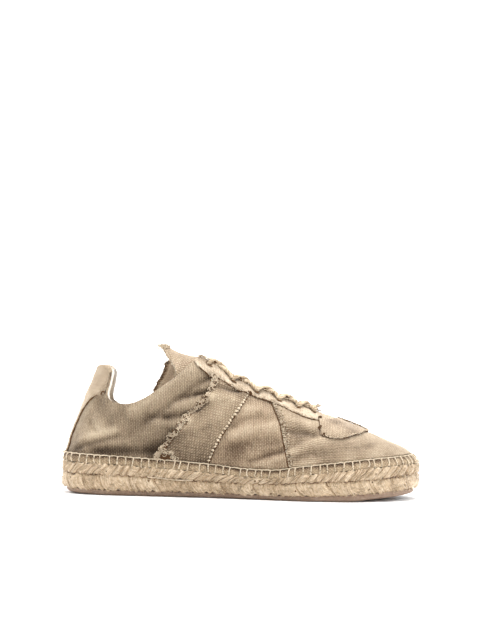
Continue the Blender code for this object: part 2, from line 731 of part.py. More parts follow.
EDGES = edges_of_panels()
RUBBER = material("rubber", (0.25, 0.19, 0.15), 0.7)
JUTE = material("jute", (0.52, 0.39, 0.26), 0.95)
CANVAS = material("canvas", (0.42, 0.33, 0.23), 0.95)
PALE_CANVAS = material("pale_canvas", (0.52, 0.41, 0.29), 0.95)
COTTON = material("cotton", (0.75, 0.62, 0.42), 0.9)
LINING = material("lining", (0.72, 0.64, 0.54), 0.9)

add_outsole(RUBBER)
add_jute_midsole(JUTE)
add_rand(CANVAS)
add_insole(LINING)
add_upper(CANVAS)
add_tongue(CANVAS)
add_heel_strip(PALE_CANVAS)
add_band(LATERAL, "band_lateral", PALE_CANVAS)
add_band(MEDIAL, "band_medial", PALE_CANVAS)
add_vamp_panel(PALE_CANVAS)
add_toe_overlay(PALE_CANVAS)
add_eyestay(PALE_CANVAS)
add_lace(COTTON)
centre_on_base(list(SHOE.objects) + list(HELPERS.objects))
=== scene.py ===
"""Looks of the espadrille sneaker: distressed canvas with painted shade and highlights, frayed seams,
blanket stitches, plaited jute, lace.

The frame is in metres: +X points to the toe, +Y to the medial side and +Z up. Shapes are worked out
in millimetres from the heel end of the sole, with the sections that the construction has, and put()
moves them into the frame.
"""

import math

import bmesh
import bpy
import numpy as np
from mathutils import Matrix, Vector


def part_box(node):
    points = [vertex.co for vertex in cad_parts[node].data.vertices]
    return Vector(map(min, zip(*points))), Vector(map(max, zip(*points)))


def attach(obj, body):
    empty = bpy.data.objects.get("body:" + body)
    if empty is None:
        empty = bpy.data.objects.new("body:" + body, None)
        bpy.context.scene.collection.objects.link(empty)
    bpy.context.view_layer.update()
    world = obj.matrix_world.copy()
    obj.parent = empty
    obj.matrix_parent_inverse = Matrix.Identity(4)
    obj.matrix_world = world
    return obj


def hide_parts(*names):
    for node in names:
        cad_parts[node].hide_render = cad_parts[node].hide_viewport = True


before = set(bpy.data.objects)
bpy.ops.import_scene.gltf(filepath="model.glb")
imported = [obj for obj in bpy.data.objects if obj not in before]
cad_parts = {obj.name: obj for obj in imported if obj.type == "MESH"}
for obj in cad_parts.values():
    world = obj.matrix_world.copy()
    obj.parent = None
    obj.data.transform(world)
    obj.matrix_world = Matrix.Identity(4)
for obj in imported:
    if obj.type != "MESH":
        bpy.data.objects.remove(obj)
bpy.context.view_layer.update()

MM = 0.001
TINY = 1e-9

# Sizes of the shoe, in millimetres
SOLE_LENGTH = 288.0
BALL_WIDTH = 100.0
INSTEP_HEIGHT = 110.0
HEEL_HEIGHT = 102.0
UPPER_WALL = 1.6
OVERLAY = 1.2
LAID = 0.35  # height of an overlay's inner face above the upper
RAND_INSET = 0.8
RAND_THICKNESS = 2.2
TONGUE_WALL = 1.6
GAP = 0.3  # between the rand and the upper
INSOLE_THICKNESS = 4.0
OUTSOLE_INSET = 4.0
EYELET_EDGE = 5.0
EYELET_ANGLES = (84.0, 90.0, 96.0, 102.0, 108.0, 114.0)
LACE_RADIUS = 2.0

# The camera is rolled and the shoe stands level, where a worn pair rocks forward a little
CAMERA_PLACE = (-0.0037, -1.15, 0.1)
CAMERA_TILT = 92.04
CAMERA_ROLL = 1.25
CAMERA_LENS = 80.0
WORLD_STRENGTH = 0.72
# Lamps: place, target, size, power and colour
LAMPS = {
    "overhead": ((0.1, -0.15, 1.25), (0.0, 0.0, 0.03), 0.8, 19.0, (1.0, 1.0, 1.0)),
    "front_fill": ((0.9, -1.5, 0.9), (0.0, 0.0, 0.05), 1.0, 7.0, (1.0, 1.0, 1.0)),
    "back_light": ((-0.9, 0.7, 0.8), (0.0, 0.0, 0.05), 0.8, 8.0, (1.0, 1.0, 1.0)),
    "toe_light": ((0.7, 0.25, 0.25), (0.13, 0.0, 0.04), 0.3, 2.4, (0.82, 0.92, 1.0)),
    "heel_light": ((-0.7, 0.3, 0.25), (-0.13, 0.0, 0.06), 0.3, 2.0, (0.9, 0.95, 1.0)),
    "backdrop_light": ((0.0, 1.3, 2.3), (0.0, 3.5, 0.3), 2.0, 150.0, (1.0, 1.0, 1.0)),
}

# Columns of the grids that run round the edge, and the counts of scattered threads
OUTSOLE_COLUMNS = 480
JUTE_COLUMNS = 1500
RAND_COLUMNS = 1100
INSOLE_COLUMNS = 360
HAIR_COUNT = 2600
TUFT_COUNT = 150
# Radii of the threads
LIGHT_THREAD = 0.24
BOLD_THREAD = 0.36
DARK_THREAD = 0.3
HAIR_RADIUS = 0.14

LATERAL = -1
MEDIAL = 1
SIDES = (LATERAL, MEDIAL)


def columns(names, rows, **sizes):
    """The table's columns by name. A size named for a column turns its percents into millimetres."""
    data = np.array(rows, float).T
    return {n: d * sizes.get(n, 100.0) / 100.0 for n, d in zip(names.split(), data)}


def evenly(count):
    """Shares from 0 to 1."""
    return np.linspace(0.0, 1.0, count)


def unit(vectors, least=0.0):
    """The vectors at length 1; least keeps one of no length from a division by zero."""
    return vectors / (np.linalg.norm(vectors, axis=-1, keepdims=True) + least)


def added_up(steps):
    """Where each step starts, and the last one ends."""
    return np.concatenate([[0.0], np.cumsum(steps)])


def distances(points):
    """Distance along a line of points, at each."""
    return added_up(np.linalg.norm(np.diff(points, axis=0), axis=1))


def smooth(knots, values, at):
    """A curve through the values with no overshoot: cubic pieces with limited slopes."""
    step = np.diff(knots)
    rise = np.diff(values) / step
    before, after = rise[:-1], rise[1:]
    same_way = before * after > 0
    total = np.where(same_way, before + after, 1.0)
    inner = np.where(same_way, 2.0 * before * after / total, 0.0)
    slope = np.concatenate([rise[:1], inner, rise[-1:]])
    at = np.clip(at, knots[0], knots[-1])
    i = np.clip(np.searchsorted(knots, at, side="right") - 1, 0, len(step) - 1)
    h = step[i]
    u = (at - knots[i]) / h
    start = (1 + 2 * u) * (1 - u) ** 2 * values[i] + u * (1 - u) ** 2 * h * slope[i]
    end = u * u * (3 - 2 * u) * values[i + 1] + u * u * (u - 1) * h * slope[i + 1]
    return start + end


# Outline of the sole: the centre line's offset to the medial side and the half width
PLAN = columns(
    "x centre half",
    (
        (0.0, 0.0, 0.0),
        (3.8, 0.0, 23.5),
        (13.0, 0.5, 32.3),
        (28.0, -0.5, 33.6),
        (40.0, -3.5, 33.4),
        (53.0, -4.5, 38.2),
        (63.0, -3.0, 44.8),
        (71.0, -1.0, 49.3),
        (78.0, 1.5, 50.0),
        (86.5, 4.0, 44.6),
        (91.7, 5.5, 37.6),
        (95.2, 6.5, 30.3),
        (98.3, 7.5, 18.6),
        (100.0, 8.0, 0.0),
    ),
    x=SOLE_LENGTH,
    centre=BALL_WIDTH,
    half=BALL_WIDTH,
)

# Heights up the sole's side, and how far the rand leans in over its height
SIDE = columns(
    "x floor jute groove rand top lean",
    (
        (0.0, 1.6, 5.2, 17.0, 26.0, 32.4, 0.0),
        (7.0, 0.5, 4.3, 16.4, 25.2, 31.6, 0.1),
        (15.0, 0.0, 4.0, 16.0, 24.4, 30.8, 0.3),
        (28.0, 0.0, 3.8, 14.6, 22.5, 28.8, 0.6),
        (40.0, 0.4, 3.9, 13.0, 20.3, 26.6, 1.0),
        (52.0, 0.4, 3.7, 12.4, 17.6, 23.4, 1.3),
        (57.5, 0.2, 3.6, 12.5, 17.4, 23.2, 1.4),
        (66.0, 0.0, 3.8, 14.4, 20.4, 26.6, 1.7),
        (77.0, 0.0, 5.0, 15.8, 24.0, 30.4, 2.1),
        (87.0, 2.2, 6.8, 17.8, 27.2, 33.4, 2.8),
        (94.0, 4.0, 8.5, 20.0, 28.6, 34.7, 3.6),
        (100.0, 5.6, 9.8, 21.4, 29.6, 35.6, 4.4),
    ),
    x=SOLE_LENGTH,
)

# Line over the top of the foot: how far it lies to the medial side
RIDGE = columns(
    "x y",
    ((0.0, 0.0), (21.0, 0.0), (38.0, 1.0), (55.0, 3.0), (72.0, 4.5), (83.0, 6.5), (100.0, 8.0)),
    x=SOLE_LENGTH,
    y=BALL_WIDTH,
)

# Ribs of the last. Each starts on the outline at a heel-to-toe angle and ends at the collar, the
# throat or the ridge, x and half being its top end's place. flare tilts its foot outwards and crown
# tilts its top end inwards, both in degrees from upright; lift and reach are the handles' lengths.
RIB_COLUMNS = "angle x half z flare lift crown reach"
HEEL_AND_COLLAR = columns(
    RIB_COLUMNS,
    (
        (0.0, 9.6, 0.0, 98.9, -15, 24, 22, 24),
        (8.0, 10.0, 8.0, 99.6, -14, 24, 21, 24),
        (14.0, 11.3, 12.6, 100.2, -12, 24, 19, 24),
        (18.0, 12.9, 15.2, 99.3, -10, 22, 16, 22),
        (19.5, 13.4, 16.0, 96.1, -9, 21, 15, 21),
        (20.8, 12.8, 17.6, 86.8, -8, 20, 14, 20),
        (22.0, 12.3, 19.2, 79.7, -8, 18, 14, 18),
        (24.0, 12.6, 21.4, 75.4, -7, 17, 13, 17),
        (27.0, 13.9, 23.2, 72.4, -5, 16, 12, 16),
        (31.0, 15.4, 25.0, 70.8, -3, 16, 12, 16),
        (38.0, 18.0, 27.0, 70.6, 0, 15, 12, 14),
        (45.0, 20.3, 28.2, 72.0, 4, 15, 12, 14),
        (52.0, 23.1, 28.8, 75.7, 6, 16, 14, 16),
        (58.0, 26.0, 28.4, 81.1, 8, 18, 18, 18),
        (64.0, 29.2, 27.2, 87.6, 8, 21, 22, 20),
        (70.0, 32.1, 25.0, 94.0, 8, 24, 29, 22),
        (75.0, 34.2, 22.0, 99.7, 8, 28, 35, 23),
        (79.0, 35.9, 18.3, 104.2, 7, 31, 41, 24),
    ),
    x=SOLE_LENGTH,
    half=BALL_WIDTH,
    z=HEEL_HEIGHT,
)
THROAT_AND_TOE = columns(
    RIB_COLUMNS,
    (
        (82.0, 37.8, 14.5, 99.6, 6, 32, 46, 25),
        (85.0, 40.3, 13.6, 96.5, 6, 32, 50, 26),
        (90.0, 46.2, 12.6, 86.1, 5, 30, 56, 25),
        (95.0, 52.1, 11.8, 79.1, 4, 28, 60, 24),
        (100.0, 57.6, 11.2, 73.9, 3, 26, 63, 23),
        (105.0, 62.5, 10.6, 69.0, 2, 24, 66, 23),
        (110.0, 66.7, 9.4, 65.0, 1, 22, 71, 24),
        (114.0, 69.6, 7.0, 62.4, 0, 21, 77, 26),
        (117.0, 71.4, 3.6, 60.7, -1, 20, 83, 27),
        (119.0, 72.0, 0.0, 60.0, -2, 20, 87, 28),
        (122.0, 73.3, 0.0, 58.8, -3, 19, 87, 28),
        (127.0, 75.3, 0.0, 56.9, -6, 18, 84, 28),
        (133.0, 77.8, 0.0, 54.7, -10, 16, 81, 27),
        (140.0, 80.0, 0.0, 52.6, -17, 14, 77, 25),
        (150.0, 82.3, 0.0, 50.4, -28, 12, 72, 21),
        (160.0, 83.6, 0.0, 48.9, -38, 10, 67, 17),
        (170.0, 84.2, 0.0, 48.2, -44, 9, 65, 15),
        (180.0, 84.4, 0.0, 48.0, -46, 8, 65, 14),
    ),
    x=SOLE_LENGTH,
    half=BALL_WIDTH,
    z=INSTEP_HEIGHT,
)
RIBS = {n: np.concatenate([HEEL_AND_COLLAR[n], THROAT_AND_TOE[n]]) for n in RIB_COLUMNS.split()}
TAB_ANGLE = 19.5  # rib angles of the heel tab's edge and of the throat's top corner and closed end
THROAT_TOP = 81.0
THROAT_END = 119.0

# How much lower than the lateral side the collar runs on the medial side
MEDIAL_DROP = columns("angle drop", ((20, 0), (30, 1.5), (62, 1.5), (80, 0)))


def seam_line(rows, low, high):
    """A seam as seen from the side, from the bottom up, and the rib angles that it keeps between."""
    return columns("z x", rows) | {"low": low, "high": high}


BAND_REAR = seam_line(((26, 75), (40, 85), (55, 96), (68, 106), (80, 117.5), (95, 123)), 55.0, 100.0)
BAND_FRONT = seam_line(((26, 117.5), (40, 123.3), (53, 130.3), (74, 143.7), (87, 151.5)), 65.0, 110.0)
VAMP_REAR = seam_line(((26, 181), (44, 176.8), (58, 173.6), (73, 167.3), (80, 162)), 85.0, 117.0)
# Lower edges as seen from the side, from the rear forward
EYESTAY_EDGE = columns(
    "x z",
    ((100, 110.8), (106, 103), (120, 94.9), (141, 83.8), (170, 73), (205, 60.9), (224, 60.6)),
)
TOE_EDGE = columns("x z", ((200, 50.6), (208, 49), (219, 47.6), (234, 50.6), (246, 52.4), (256, 53.2)))
# Half width of the heel strip, as a rib angle, against the height up the rib
HEEL_STRIP_EDGE = columns(
    "v angle",
    ((0, 9.5), (0.35, 10.5), (0.5, 12.5), (0.62, 16), (0.72, TAB_ANGLE), (1, TAB_ANGLE)),
)

# The tongue's free end, from its lateral to its medial edge, with the raised tip between
TONGUE_END = columns(
    "x y z",
    (
        (92.0, -22.0, 92.5),
        (88.5, -18.0, 101.0),
        (84.8, -13.0, 109.0),
        (79.4, -8.5, 116.2),
        (81.8, -2.5, 118.3),
        (83.8, 4.0, 110.5),
        (80.5, 11.0, 103.0),
        (76.0, 18.0, 93.0),
        (70.5, 23.0, 81.8),
    ),
)
TONGUE_EDGE = 0.80  # share of a rib's height where the tongue's edge lies
TONGUE_ARCH = 0.1  # rise of its middle over the throat, as a share of the throat's width
TONGUE_DIP = 1.8  # how far its free part sags between the throat and its end

EYESTAY_END = 130.5
TOE_REAR = 115.3  # rib angle of the toe overlay's rear edge
EDGE_ANGLES = np.linspace(80.0, 180.0, 201)
OUTLINE_ANGLES = np.linspace(0.0, 180.0, 361)
TONGUE_ANGLES = (116.5, 113.0, 109.0, 105.0, 100.0, 95.0, 90.0, 86.0, 82.0)


def heel_to_toe(angle):
    """Distance from the heel end for an angle that runs from 0 at the heel to 180 at the toe."""
    return SOLE_LENGTH / 2 * (1 - np.cos(np.radians(angle)))


PLAN_ANGLES = np.degrees(np.arccos(1 - 2 * PLAN["x"] / SOLE_LENGTH))


def plan_point(angle, side):
    """Point of the sole's outline; an angle just past either end lies on the other side."""
    angle = np.asarray(angle, float)
    folded = 180.0 - np.abs(180.0 - np.abs(angle))
    crossed = np.where((angle < 0) | (angle > 180), -1.0, 1.0)
    half = smooth(PLAN_ANGLES, PLAN["half"], folded)
    y = smooth(PLAN_ANGLES, PLAN["centre"], folded) + side * crossed * half
    return np.stack([heel_to_toe(folded), y], axis=-1)


def outline(angle, side, inset=0.0):
    """Points of the sole's outline on one side, moved inwards along its normal."""
    along = plan_point(np.asarray(angle) + 1.0, side) - plan_point(np.asarray(angle) - 1.0, side)
    along = unit(along)
    inwards = np.stack([along[..., 1], -along[..., 0]], axis=-1) * side
    return plan_point(angle, side) + inwards * np.asarray(inset, float)[..., None]


def side_height(name, x):
    return smooth(SIDE["x"], SIDE[name], x)


def upper_inset(x):
    return RAND_INSET + RAND_THICKNESS + GAP + side_height("lean", x)


def rib(angle, side, v):
    """Point at share v of the height of the rib at this angle, on the upper's outer face."""
    angle, v = np.broadcast_arrays(np.asarray(angle, float), np.asarray(v, float))
    row = {n: smooth(RIBS["angle"], RIBS[n], angle) for n in RIBS if n != "angle"}
    x = heel_to_toe(angle)
    foot = outline(angle, side, upper_inset(x))
    base = np.stack([foot[..., 0], foot[..., 1], side_height("top", x) + GAP], axis=-1)
    drop = smooth(MEDIAL_DROP["angle"], MEDIAL_DROP["drop"], angle) * (side == MEDIAL)
    ridge = smooth(RIDGE["x"], RIDGE["y"], row["x"])
    top = np.stack([row["x"], ridge + side * row["half"], row["z"] - drop], axis=-1)
    inwards = top - base
    inwards[..., 2] = 0
    inwards = unit(inwards)
    up = np.array([0.0, 0.0, 1.0])
    flare = np.radians(row["flare"])[..., None]
    crown = np.radians(row["crown"])[..., None]
    first = base + row["lift"][..., None] * (up * np.cos(flare) - inwards * np.sin(flare))
    last = top - row["reach"][..., None] * (up * np.cos(crown) + inwards * np.sin(crown))
    v = v[..., None]
    w = 1 - v
    return w**3 * base + 3 * w * w * v * first + 3 * w * v * v * last + v**3 * top


def face_point(angle, side, v):
    """As rib(), for an angle that may run a little past the heel or the toe to the other side."""
    angle = np.asarray(angle, float)
    folded = 180.0 - np.abs(180.0 - np.abs(angle))
    crossed = ((angle < 0) | (angle > 180))[..., None]
    return np.where(crossed, rib(folded, -side, v), rib(folded, side, v))


def face_normal(angle, side, v):
    v = np.minimum(v, 0.98)
    up = rib(angle, side, v + 0.01) - rib(angle, side, np.maximum(v - 0.01, 0))
    along = face_point(angle + 0.5, side, v) - face_point(angle - 0.5, side, v)
    return unit(np.cross(along, up) * -side)


def offset_rib(angle, side, v, out):
    """The rib's point moved out along the upper's normal, or in where out is below zero. On the
    ridge both sides share one normal."""
    angle, v = np.broadcast_arrays(np.asarray(angle, float), np.asarray(v, float))
    normal = face_normal(angle, side, v)
    on_ridge = ((v > 0.9999) & (angle >= THROAT_END))[..., None]
    normal = unit(normal + np.where(on_ridge, face_normal(angle, -side, v), 0))
    return rib(angle, side, v) + normal * np.asarray(out, float)[..., None]


def solve(miss, low, high):
    """Where miss(values) changes sign between low and high, or the nearer end where it doesn't."""
    low, high = np.broadcast_arrays(np.asarray(low, float), np.asarray(high, float))
    at_low, at_high = miss(low), miss(high)
    nearer = np.where(np.abs(at_low) < np.abs(at_high), low, high)
    crosses = at_low * at_high <= 0
    for _ in range(24):
        middle = (low + high) / 2
        same = miss(middle) * at_low > 0
        low = np.where(same, middle, low)
        high = np.where(same, high, middle)
    return np.where(crosses, (low + high) / 2, nearer)


def height_at_edge(edge, side):
    """Share of each rib's height, at EDGE_ANGLES, where it crosses an edge seen from the side."""
    def miss(v):
        p = rib(EDGE_ANGLES, side, v)
        return p[..., 2] - smooth(edge["x"], edge["z"], p[..., 0])

    return solve(miss, np.full(len(EDGE_ANGLES), 0.05), 1.0)


def share_for_length(angle, side, length):
    """Share of a rib's height that a length down from its top end takes."""
    near_top = 0.85
    step = np.linalg.norm(rib(angle, side, 1.0) - rib(angle, side, near_top), axis=-1)
    return (1 - near_top) * length / step


EYESTAY_LOW = {side: height_at_edge(EYESTAY_EDGE, side) for side in SIDES}
TOE_LOW = {side: height_at_edge(TOE_EDGE, side) for side in SIDES}


def eyestay_low(angle, side):
    return np.interp(angle, EDGE_ANGLES, EYESTAY_LOW[side])


def panel_top(angle, side):
    """Height that the side panels reach: under the eyestay's lower edge, or to the ridge."""
    reach = eyestay_low(angle, side) + share_for_length(angle, side, 2.0)
    return np.where(angle < EYESTAY_END, np.minimum(reach, 1.0), 1.0)


def seam_angles(seam, side, shares):
    """Rib angle where a seam seen from the side crosses each share of the panels' height."""
    def miss(angle):
        p = rib(angle, side, shares * panel_top(angle, side))
        return p[..., 0] - smooth(seam["z"], seam["x"], p[..., 2])

    return solve(miss, np.full(len(shares), seam["low"]), seam["high"])


# Folds of the canvas, as seen from the side: three points, height (a trough is below zero) and width
FOLDS = columns(
    "x1 z1 x2 z2 x3 z3 height width",
    (
        # the roll under the collar and the troughs that run down from the throat
        (117, 95, 106, 87, 94, 78, -3.3, 3.2),
        (90, 75, 80, 68.5, 67, 58.5, -2.3, 3.2),
        (106, 101, 83, 85, 56, 67, 1.2, 4.0),
        (117, 83, 110, 82, 102, 79.3, -2.4, 2.4),
        (119, 84, 114, 83.5, 106, 81, -1.4, 2.0),
        (117, 78.5, 102, 74.5, 90, 71, 1.7, 3.0),
        (108, 68.5, 98, 65, 82, 62.5, -2.8, 2.6),
        (116, 75, 109, 69, 98, 65, -1.6, 2.0),
        (84, 62.5, 78, 62.5, 70, 64, -1.0, 3.0),
        (101, 60.5, 89, 58.5, 77, 58.5, 1.2, 3.6),
        # the hollow ahead of the heel and the canvas turned in along the rand
        (89, 50, 84, 44, 74, 37, -3.4, 6.2),
        (78, 35, 54, 34.5, 28, 34.5, -2.2, 3.4),
        (60, 55, 56, 47, 52, 40, -0.8, 6.0),
        # the heel's puckers
        (23.5, 57, 25.5, 52.5, 30, 49, -1.0, 1.8),
        (16, 42, 28, 46.5, 43, 51, 1.5, 3.2),
        (12, 35.5, 27, 41, 46, 47, -1.2, 2.2),
        (20, 36.5, 36, 40.5, 54, 42, 0.6, 2.6),
        (30, 74, 34, 66, 38, 56, -0.8, 5.0),
        # the band
        (124, 87, 132, 84.5, 140, 83.5, -1.6, 2.6),
        (121, 79, 129, 78, 136, 76.5, 1.1, 3.4),
        (98, 50, 106, 51, 116, 55, -0.7, 4.0),
        # the panel between the band and the vamp
        (136, 56, 146, 62, 156, 66, -1.3, 3.4),
        (136, 49, 151, 54.5, 168, 57, 1.4, 4.2),
        (137, 42, 152, 44, 170, 46, -1.0, 4.6),
        (149, 29.5, 162, 33.5, 176, 38.5, -1.7, 2.6),
        (154, 26.5, 165, 30, 177, 34.5, 1.4, 2.4),
        (146, 69, 154, 69, 162, 67, 0.8, 4.6),
        # the vamp
        (178, 53, 189, 52, 200, 51, -1.5, 3.6),
        (183, 37, 195, 43, 207, 47, 1.4, 2.8),
        (186, 33, 196, 36, 206, 37.5, -1.3, 3.8),
        (182, 62, 188, 60, 196, 57, 0.8, 3.6),
        (214, 40, 228, 41, 243, 42, -0.4, 3.0),
    ),
)
MEDIAL_FOLD = 0.75  # the folds of the medial side are this much as deep, and lie elsewhere:
MEDIAL_MOVE = (5.0, -2.5)


def fold_lines():
    """Each fold as three points of the upper's face, with its depth and width."""
    angles = np.linspace(2.0, 178.0, 177)
    heights = evenly(61)[:, None]
    found = []
    for side in SIDES:
        face = rib(angles, side, heights).reshape(-1, 3)
        move = MEDIAL_MOVE if side == MEDIAL else (0.0, 0.0)
        share = MEDIAL_FOLD if side == MEDIAL else 1.0
        for row in zip(*FOLDS.values()):
            line = []
            for x, z in (row[0:2], row[2:4], row[4:6]):
                far = (face[:, 0] - x - move[0]) ** 2 + (face[:, 2] - z - move[1]) ** 2
                line.append(face[np.argmin(far)])
            found.append((np.array(line), row[6] * share, row[7]))
    return found


FOLD_LINES = fold_lines()


def distance_to_line(points, line):
    best = np.full(points.shape[:-1], np.inf)
    for a, b in zip(line, line[1:]):
        along = b - a
        share = np.clip((points - a) @ along / (along @ along + TINY), 0, 1)
        best = np.minimum(best, np.linalg.norm(points - a - share[..., None] * along, axis=-1))
    return best


def fade(distance, width, power=2):
    """1 at no distance, and smoothly less until it is nearly 0 at twice the width."""
    return np.exp(-((distance / width) ** power))


def ripple(points, scale, seed):
    """Smooth uneven waves through space, about -1 to 1, some `scale` millimetres long."""
    waves = 14
    random = np.random.default_rng(seed)
    way = unit(random.normal(size=(waves, 3)))
    way *= random.uniform(0.6, 1.6, (waves, 1)) * 2 * math.pi / scale
    start = random.uniform(0, 2 * math.pi, waves)
    return np.sin(np.asarray(points) @ way.T + start).sum(axis=-1) / math.sqrt(waves)


def ripple_along(distance, scale, seed):
    return ripple(np.stack([distance, 0 * distance, 0 * distance], axis=-1), scale, seed)


def folds(points):
    """How far the canvas stands out at each point, and its tone: painted shade in a trough and a painted
    highlight on a ridge, over tone that differs at random.
    """
    out = 0.22 * ripple(points, 17.0, 3) + 0.1 * ripple(points, 7.0, 4)
    tone = 0.08 * ripple(points, 23.0, 5)
    for line, depth, width in FOLD_LINES:
        near = fade(distance_to_line(points, line), width)
        out = out + depth * near
        # painted shade in the fold's trough and a painted highlight on its ridge
        tone = tone + 0.36 * depth / (1 + abs(depth)) * near
    return out, tone


def draped(angle, side, v, out):
    """Point off the upper's folded face, its grain in millimetres and its tone, which holds the folds'
    painted shade and highlights.
    """
    angle, v = np.broadcast_arrays(np.asarray(angle, float), np.asarray(v, float))
    base = rib(angle, side, v)
    depth, tone = folds(base)
    calm = np.clip(v / 0.08, 0, 1) * np.clip((1 - v) / 0.05, 0.25, 1)
    calm = np.where(angle > EYESTAY_END, np.clip(v / 0.08, 0, 1), calm)
    points = offset_rib(angle, side, v, out + depth * calm)
    x = heel_to_toe(angle)
    foot = outline(angle, side)
    edge = np.interp(angle, OUTLINE_ANGLES, OUTLINE_LENGTHS)
    grain_u = points[..., 0] + edge - foot[..., 0]
    grain_v = side_height("top", x) + v * rib_length(angle, side)
    return points, np.stack([grain_u * -side, grain_v], axis=-1), tone


def rib_length(angle, side):
    steps = [rib(angle, side, v) for v in evenly(9)]
    return sum(np.linalg.norm(b - a, axis=-1) for a, b in zip(steps, steps[1:]))


def outline_lengths():
    """Distance along the outline from the heel to each of OUTLINE_ANGLES, the mean of both sides."""
    steps = [np.linalg.norm(np.diff(outline(OUTLINE_ANGLES, side), axis=0), axis=1) for side in SIDES]
    return added_up(sum(steps) / 2)


OUTLINE_LENGTHS = outline_lengths()
HALF_EDGE = OUTLINE_LENGTHS[-1]
EDGE = 2 * HALF_EDGE  # length of the whole outline


def edge_point(distance, inset=0.0):
    """Point of the outline, moved inwards, at a distance from the heel by the lateral side."""
    distance = distance % EDGE
    angle = np.interp(np.minimum(distance, EDGE - distance), OUTLINE_LENGTHS, OUTLINE_ANGLES)
    on_lateral = (distance <= HALF_EDGE)[..., None]
    return np.where(on_lateral, outline(angle, LATERAL, inset), outline(angle, MEDIAL, inset))


def round_edge(count, extra=0):
    """Distances from the heel that part the whole outline evenly."""
    return np.arange(count + extra) * EDGE / count


def shift_into_frame():
    """Move from the construction's place to the frame's, found from the jute's box."""
    low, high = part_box("jute_midsole")
    ring = np.concatenate([outline(OUTLINE_ANGLES, side) for side in SIDES])
    middle = (ring.min(axis=0) + ring.max(axis=0)) / 2
    return np.array([(low.x + high.x) / 2 / MM - middle[0], (low.y + high.y) / 2 / MM - middle[1], 0.0])


SHIFT = shift_into_frame()


def put(points):
    return (np.asarray(points, float) + SHIFT) * MM


# Meshes


def linked(name, data):
    """A new object of the scene."""
    made = bpy.data.objects.new(name, data)
    bpy.context.scene.collection.objects.link(made)
    return made


def finished(name, data, finish, node=None):
    """Adds the mesh as a piece that rides on the shoe and stands for a node."""
    made = linked(name, data)
    for one in finish if isinstance(finish, tuple) else (finish,):
        data.materials.append(one)
    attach(made, "root")
    if node:
        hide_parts(node)
    return made


def quads_of(rows, count, closed):
    """Corner indices of the faces of a grid of points."""
    span = count if closed else count - 1
    i, j = np.meshgrid(np.arange(rows - 1), np.arange(span), indexing="ij")
    i, j = i.ravel(), j.ravel()
    k = (j + 1) % count
    return np.stack([i * count + j, i * count + k, (i + 1) * count + k, (i + 1) * count + j], axis=1)


def mesh_from(name, parts):
    """One mesh from parts of (points in mm, faces, grain at each face corner, tone at each point)."""
    start, points, faces, grains, tones = 0, [], [], [], []
    for p, f, g, t in parts:
        points.append(put(p))
        faces.append(f + start)
        grains.append(g.reshape(-1, 2))
        tones.append(np.broadcast_to(t, len(p)))
        start += len(p)
    faces = np.concatenate(faces)
    data = bpy.data.meshes.new(name)
    data.from_pydata(np.concatenate(points).tolist(), [], faces.tolist())
    layer = data.uv_layers.new(name="grain")
    layer.data.foreach_set("uv", np.concatenate(grains).ravel())
    tone = data.attributes.new("tone", "FLOAT", "POINT")
    tone.data.foreach_set("value", np.concatenate(tones))
    return data


def grid_part(points, grain, tone, closed=False):
    """Part of a mesh from a grid of points. On a closed grid, grain has one column more."""
    rows, count = points.shape[:2]
    corners = quads_of(rows, count + closed, False)
    tones = np.broadcast_to(tone, (rows, count)).ravel()
    return points.reshape(-1, 3), quads_of(rows, count, closed), grain.reshape(-1, 2)[corners], tones


def clean(data, outwards_from=None):
    """Welds the mesh and turns its faces one way, away from the inside of the shoe if it is open."""
    mesh = bmesh.new()
    mesh.from_mesh(data)
    bmesh.ops.remove_doubles(mesh, verts=mesh.verts, dist=0.004 * MM)
    bmesh.ops.dissolve_degenerate(mesh, dist=0.002 * MM, edges=mesh.edges)
    bmesh.ops.recalc_face_normals(mesh, faces=mesh.faces)
    if outwards_from:
        facing = 0.0
        for face in mesh.faces:
            centre = face.calc_center_median()
            inside = Vector((centre.x, 0, outwards_from * MM))
            facing += face.calc_area() * face.normal.dot(centre - inside)
        if facing < 0:
            bmesh.ops.reverse_faces(mesh, faces=mesh.faces)
    mesh.to_mesh(data)
    mesh.free()
    data.shade_smooth()


def add_sheet(name, parts, finish, node, thickness, outwards, even=False):
    """Cloth: an open surface that Solidify thickens. A second finish goes on its other face."""
    data = mesh_from(name, parts)
    clean(data, HEEL_HEIGHT / 2)
    made = finished(name, data, finish, node)
    wall = made.modifiers.new("wall", "SOLIDIFY")
    wall.thickness = thickness * MM
    wall.offset = 1.0 if outwards else -1.0
    wall.use_even_offset = even
    wall.material_offset = 1 if isinstance(finish, tuple) else 0


def tube_part(path, radius, sides, tone=0.0, facing=(0.0, 0.0, 1.0), flat=1.0):
    """A round thread along a path, pointed where its radius falls; flat squeezes it along facing."""
    path = np.asarray(path, float)
    radius = np.broadcast_to(np.asarray(radius, float), len(path))
    along = unit(np.gradient(path, axis=0), TINY)
    facing = np.broadcast_to(np.asarray(facing, float), path.shape)
    across = np.cross(along, facing)
    weak = np.linalg.norm(across, axis=1, keepdims=True) < 0.15
    across = unit(np.where(weak, np.cross(along, (0.3, 1.0, 0.1)), across))
    up = np.cross(across, along)
    turn = 2 * math.pi * np.arange(sides) / sides
    ring = across[:, None] * np.cos(turn)[:, None] + flat * up[:, None] * np.sin(turn)[:, None]
    points = path[:, None] + radius[:, None, None] * ring
    round_it = np.arange(sides + 1) / sides
    grain = np.stack(np.broadcast_arrays(distances(path)[:, None], round_it * 6.0), axis=-1)
    return grid_part(points, grain, tone, closed=True)


def add_mesh(name, parts, finish, node=None, skin=False):
    """A piece from its parts as they are, or welded where they make one closed skin."""
    data = mesh_from(name, parts)
    if skin:
        clean(data)
    data.shade_smooth()
    finished(name, data, finish, node)


def add_threads(name, paths, radius, finish, sides, ends):
    """Many threads in one mesh. Each path is a list of points; its ends narrow to a share."""
    parts = []
    for path in paths:
        widths = np.full(len(path), radius)
        widths[[0, -1]] *= ends
        parts.append(tube_part(path, widths, sides))
    add_mesh(name, parts, finish)


# Materials


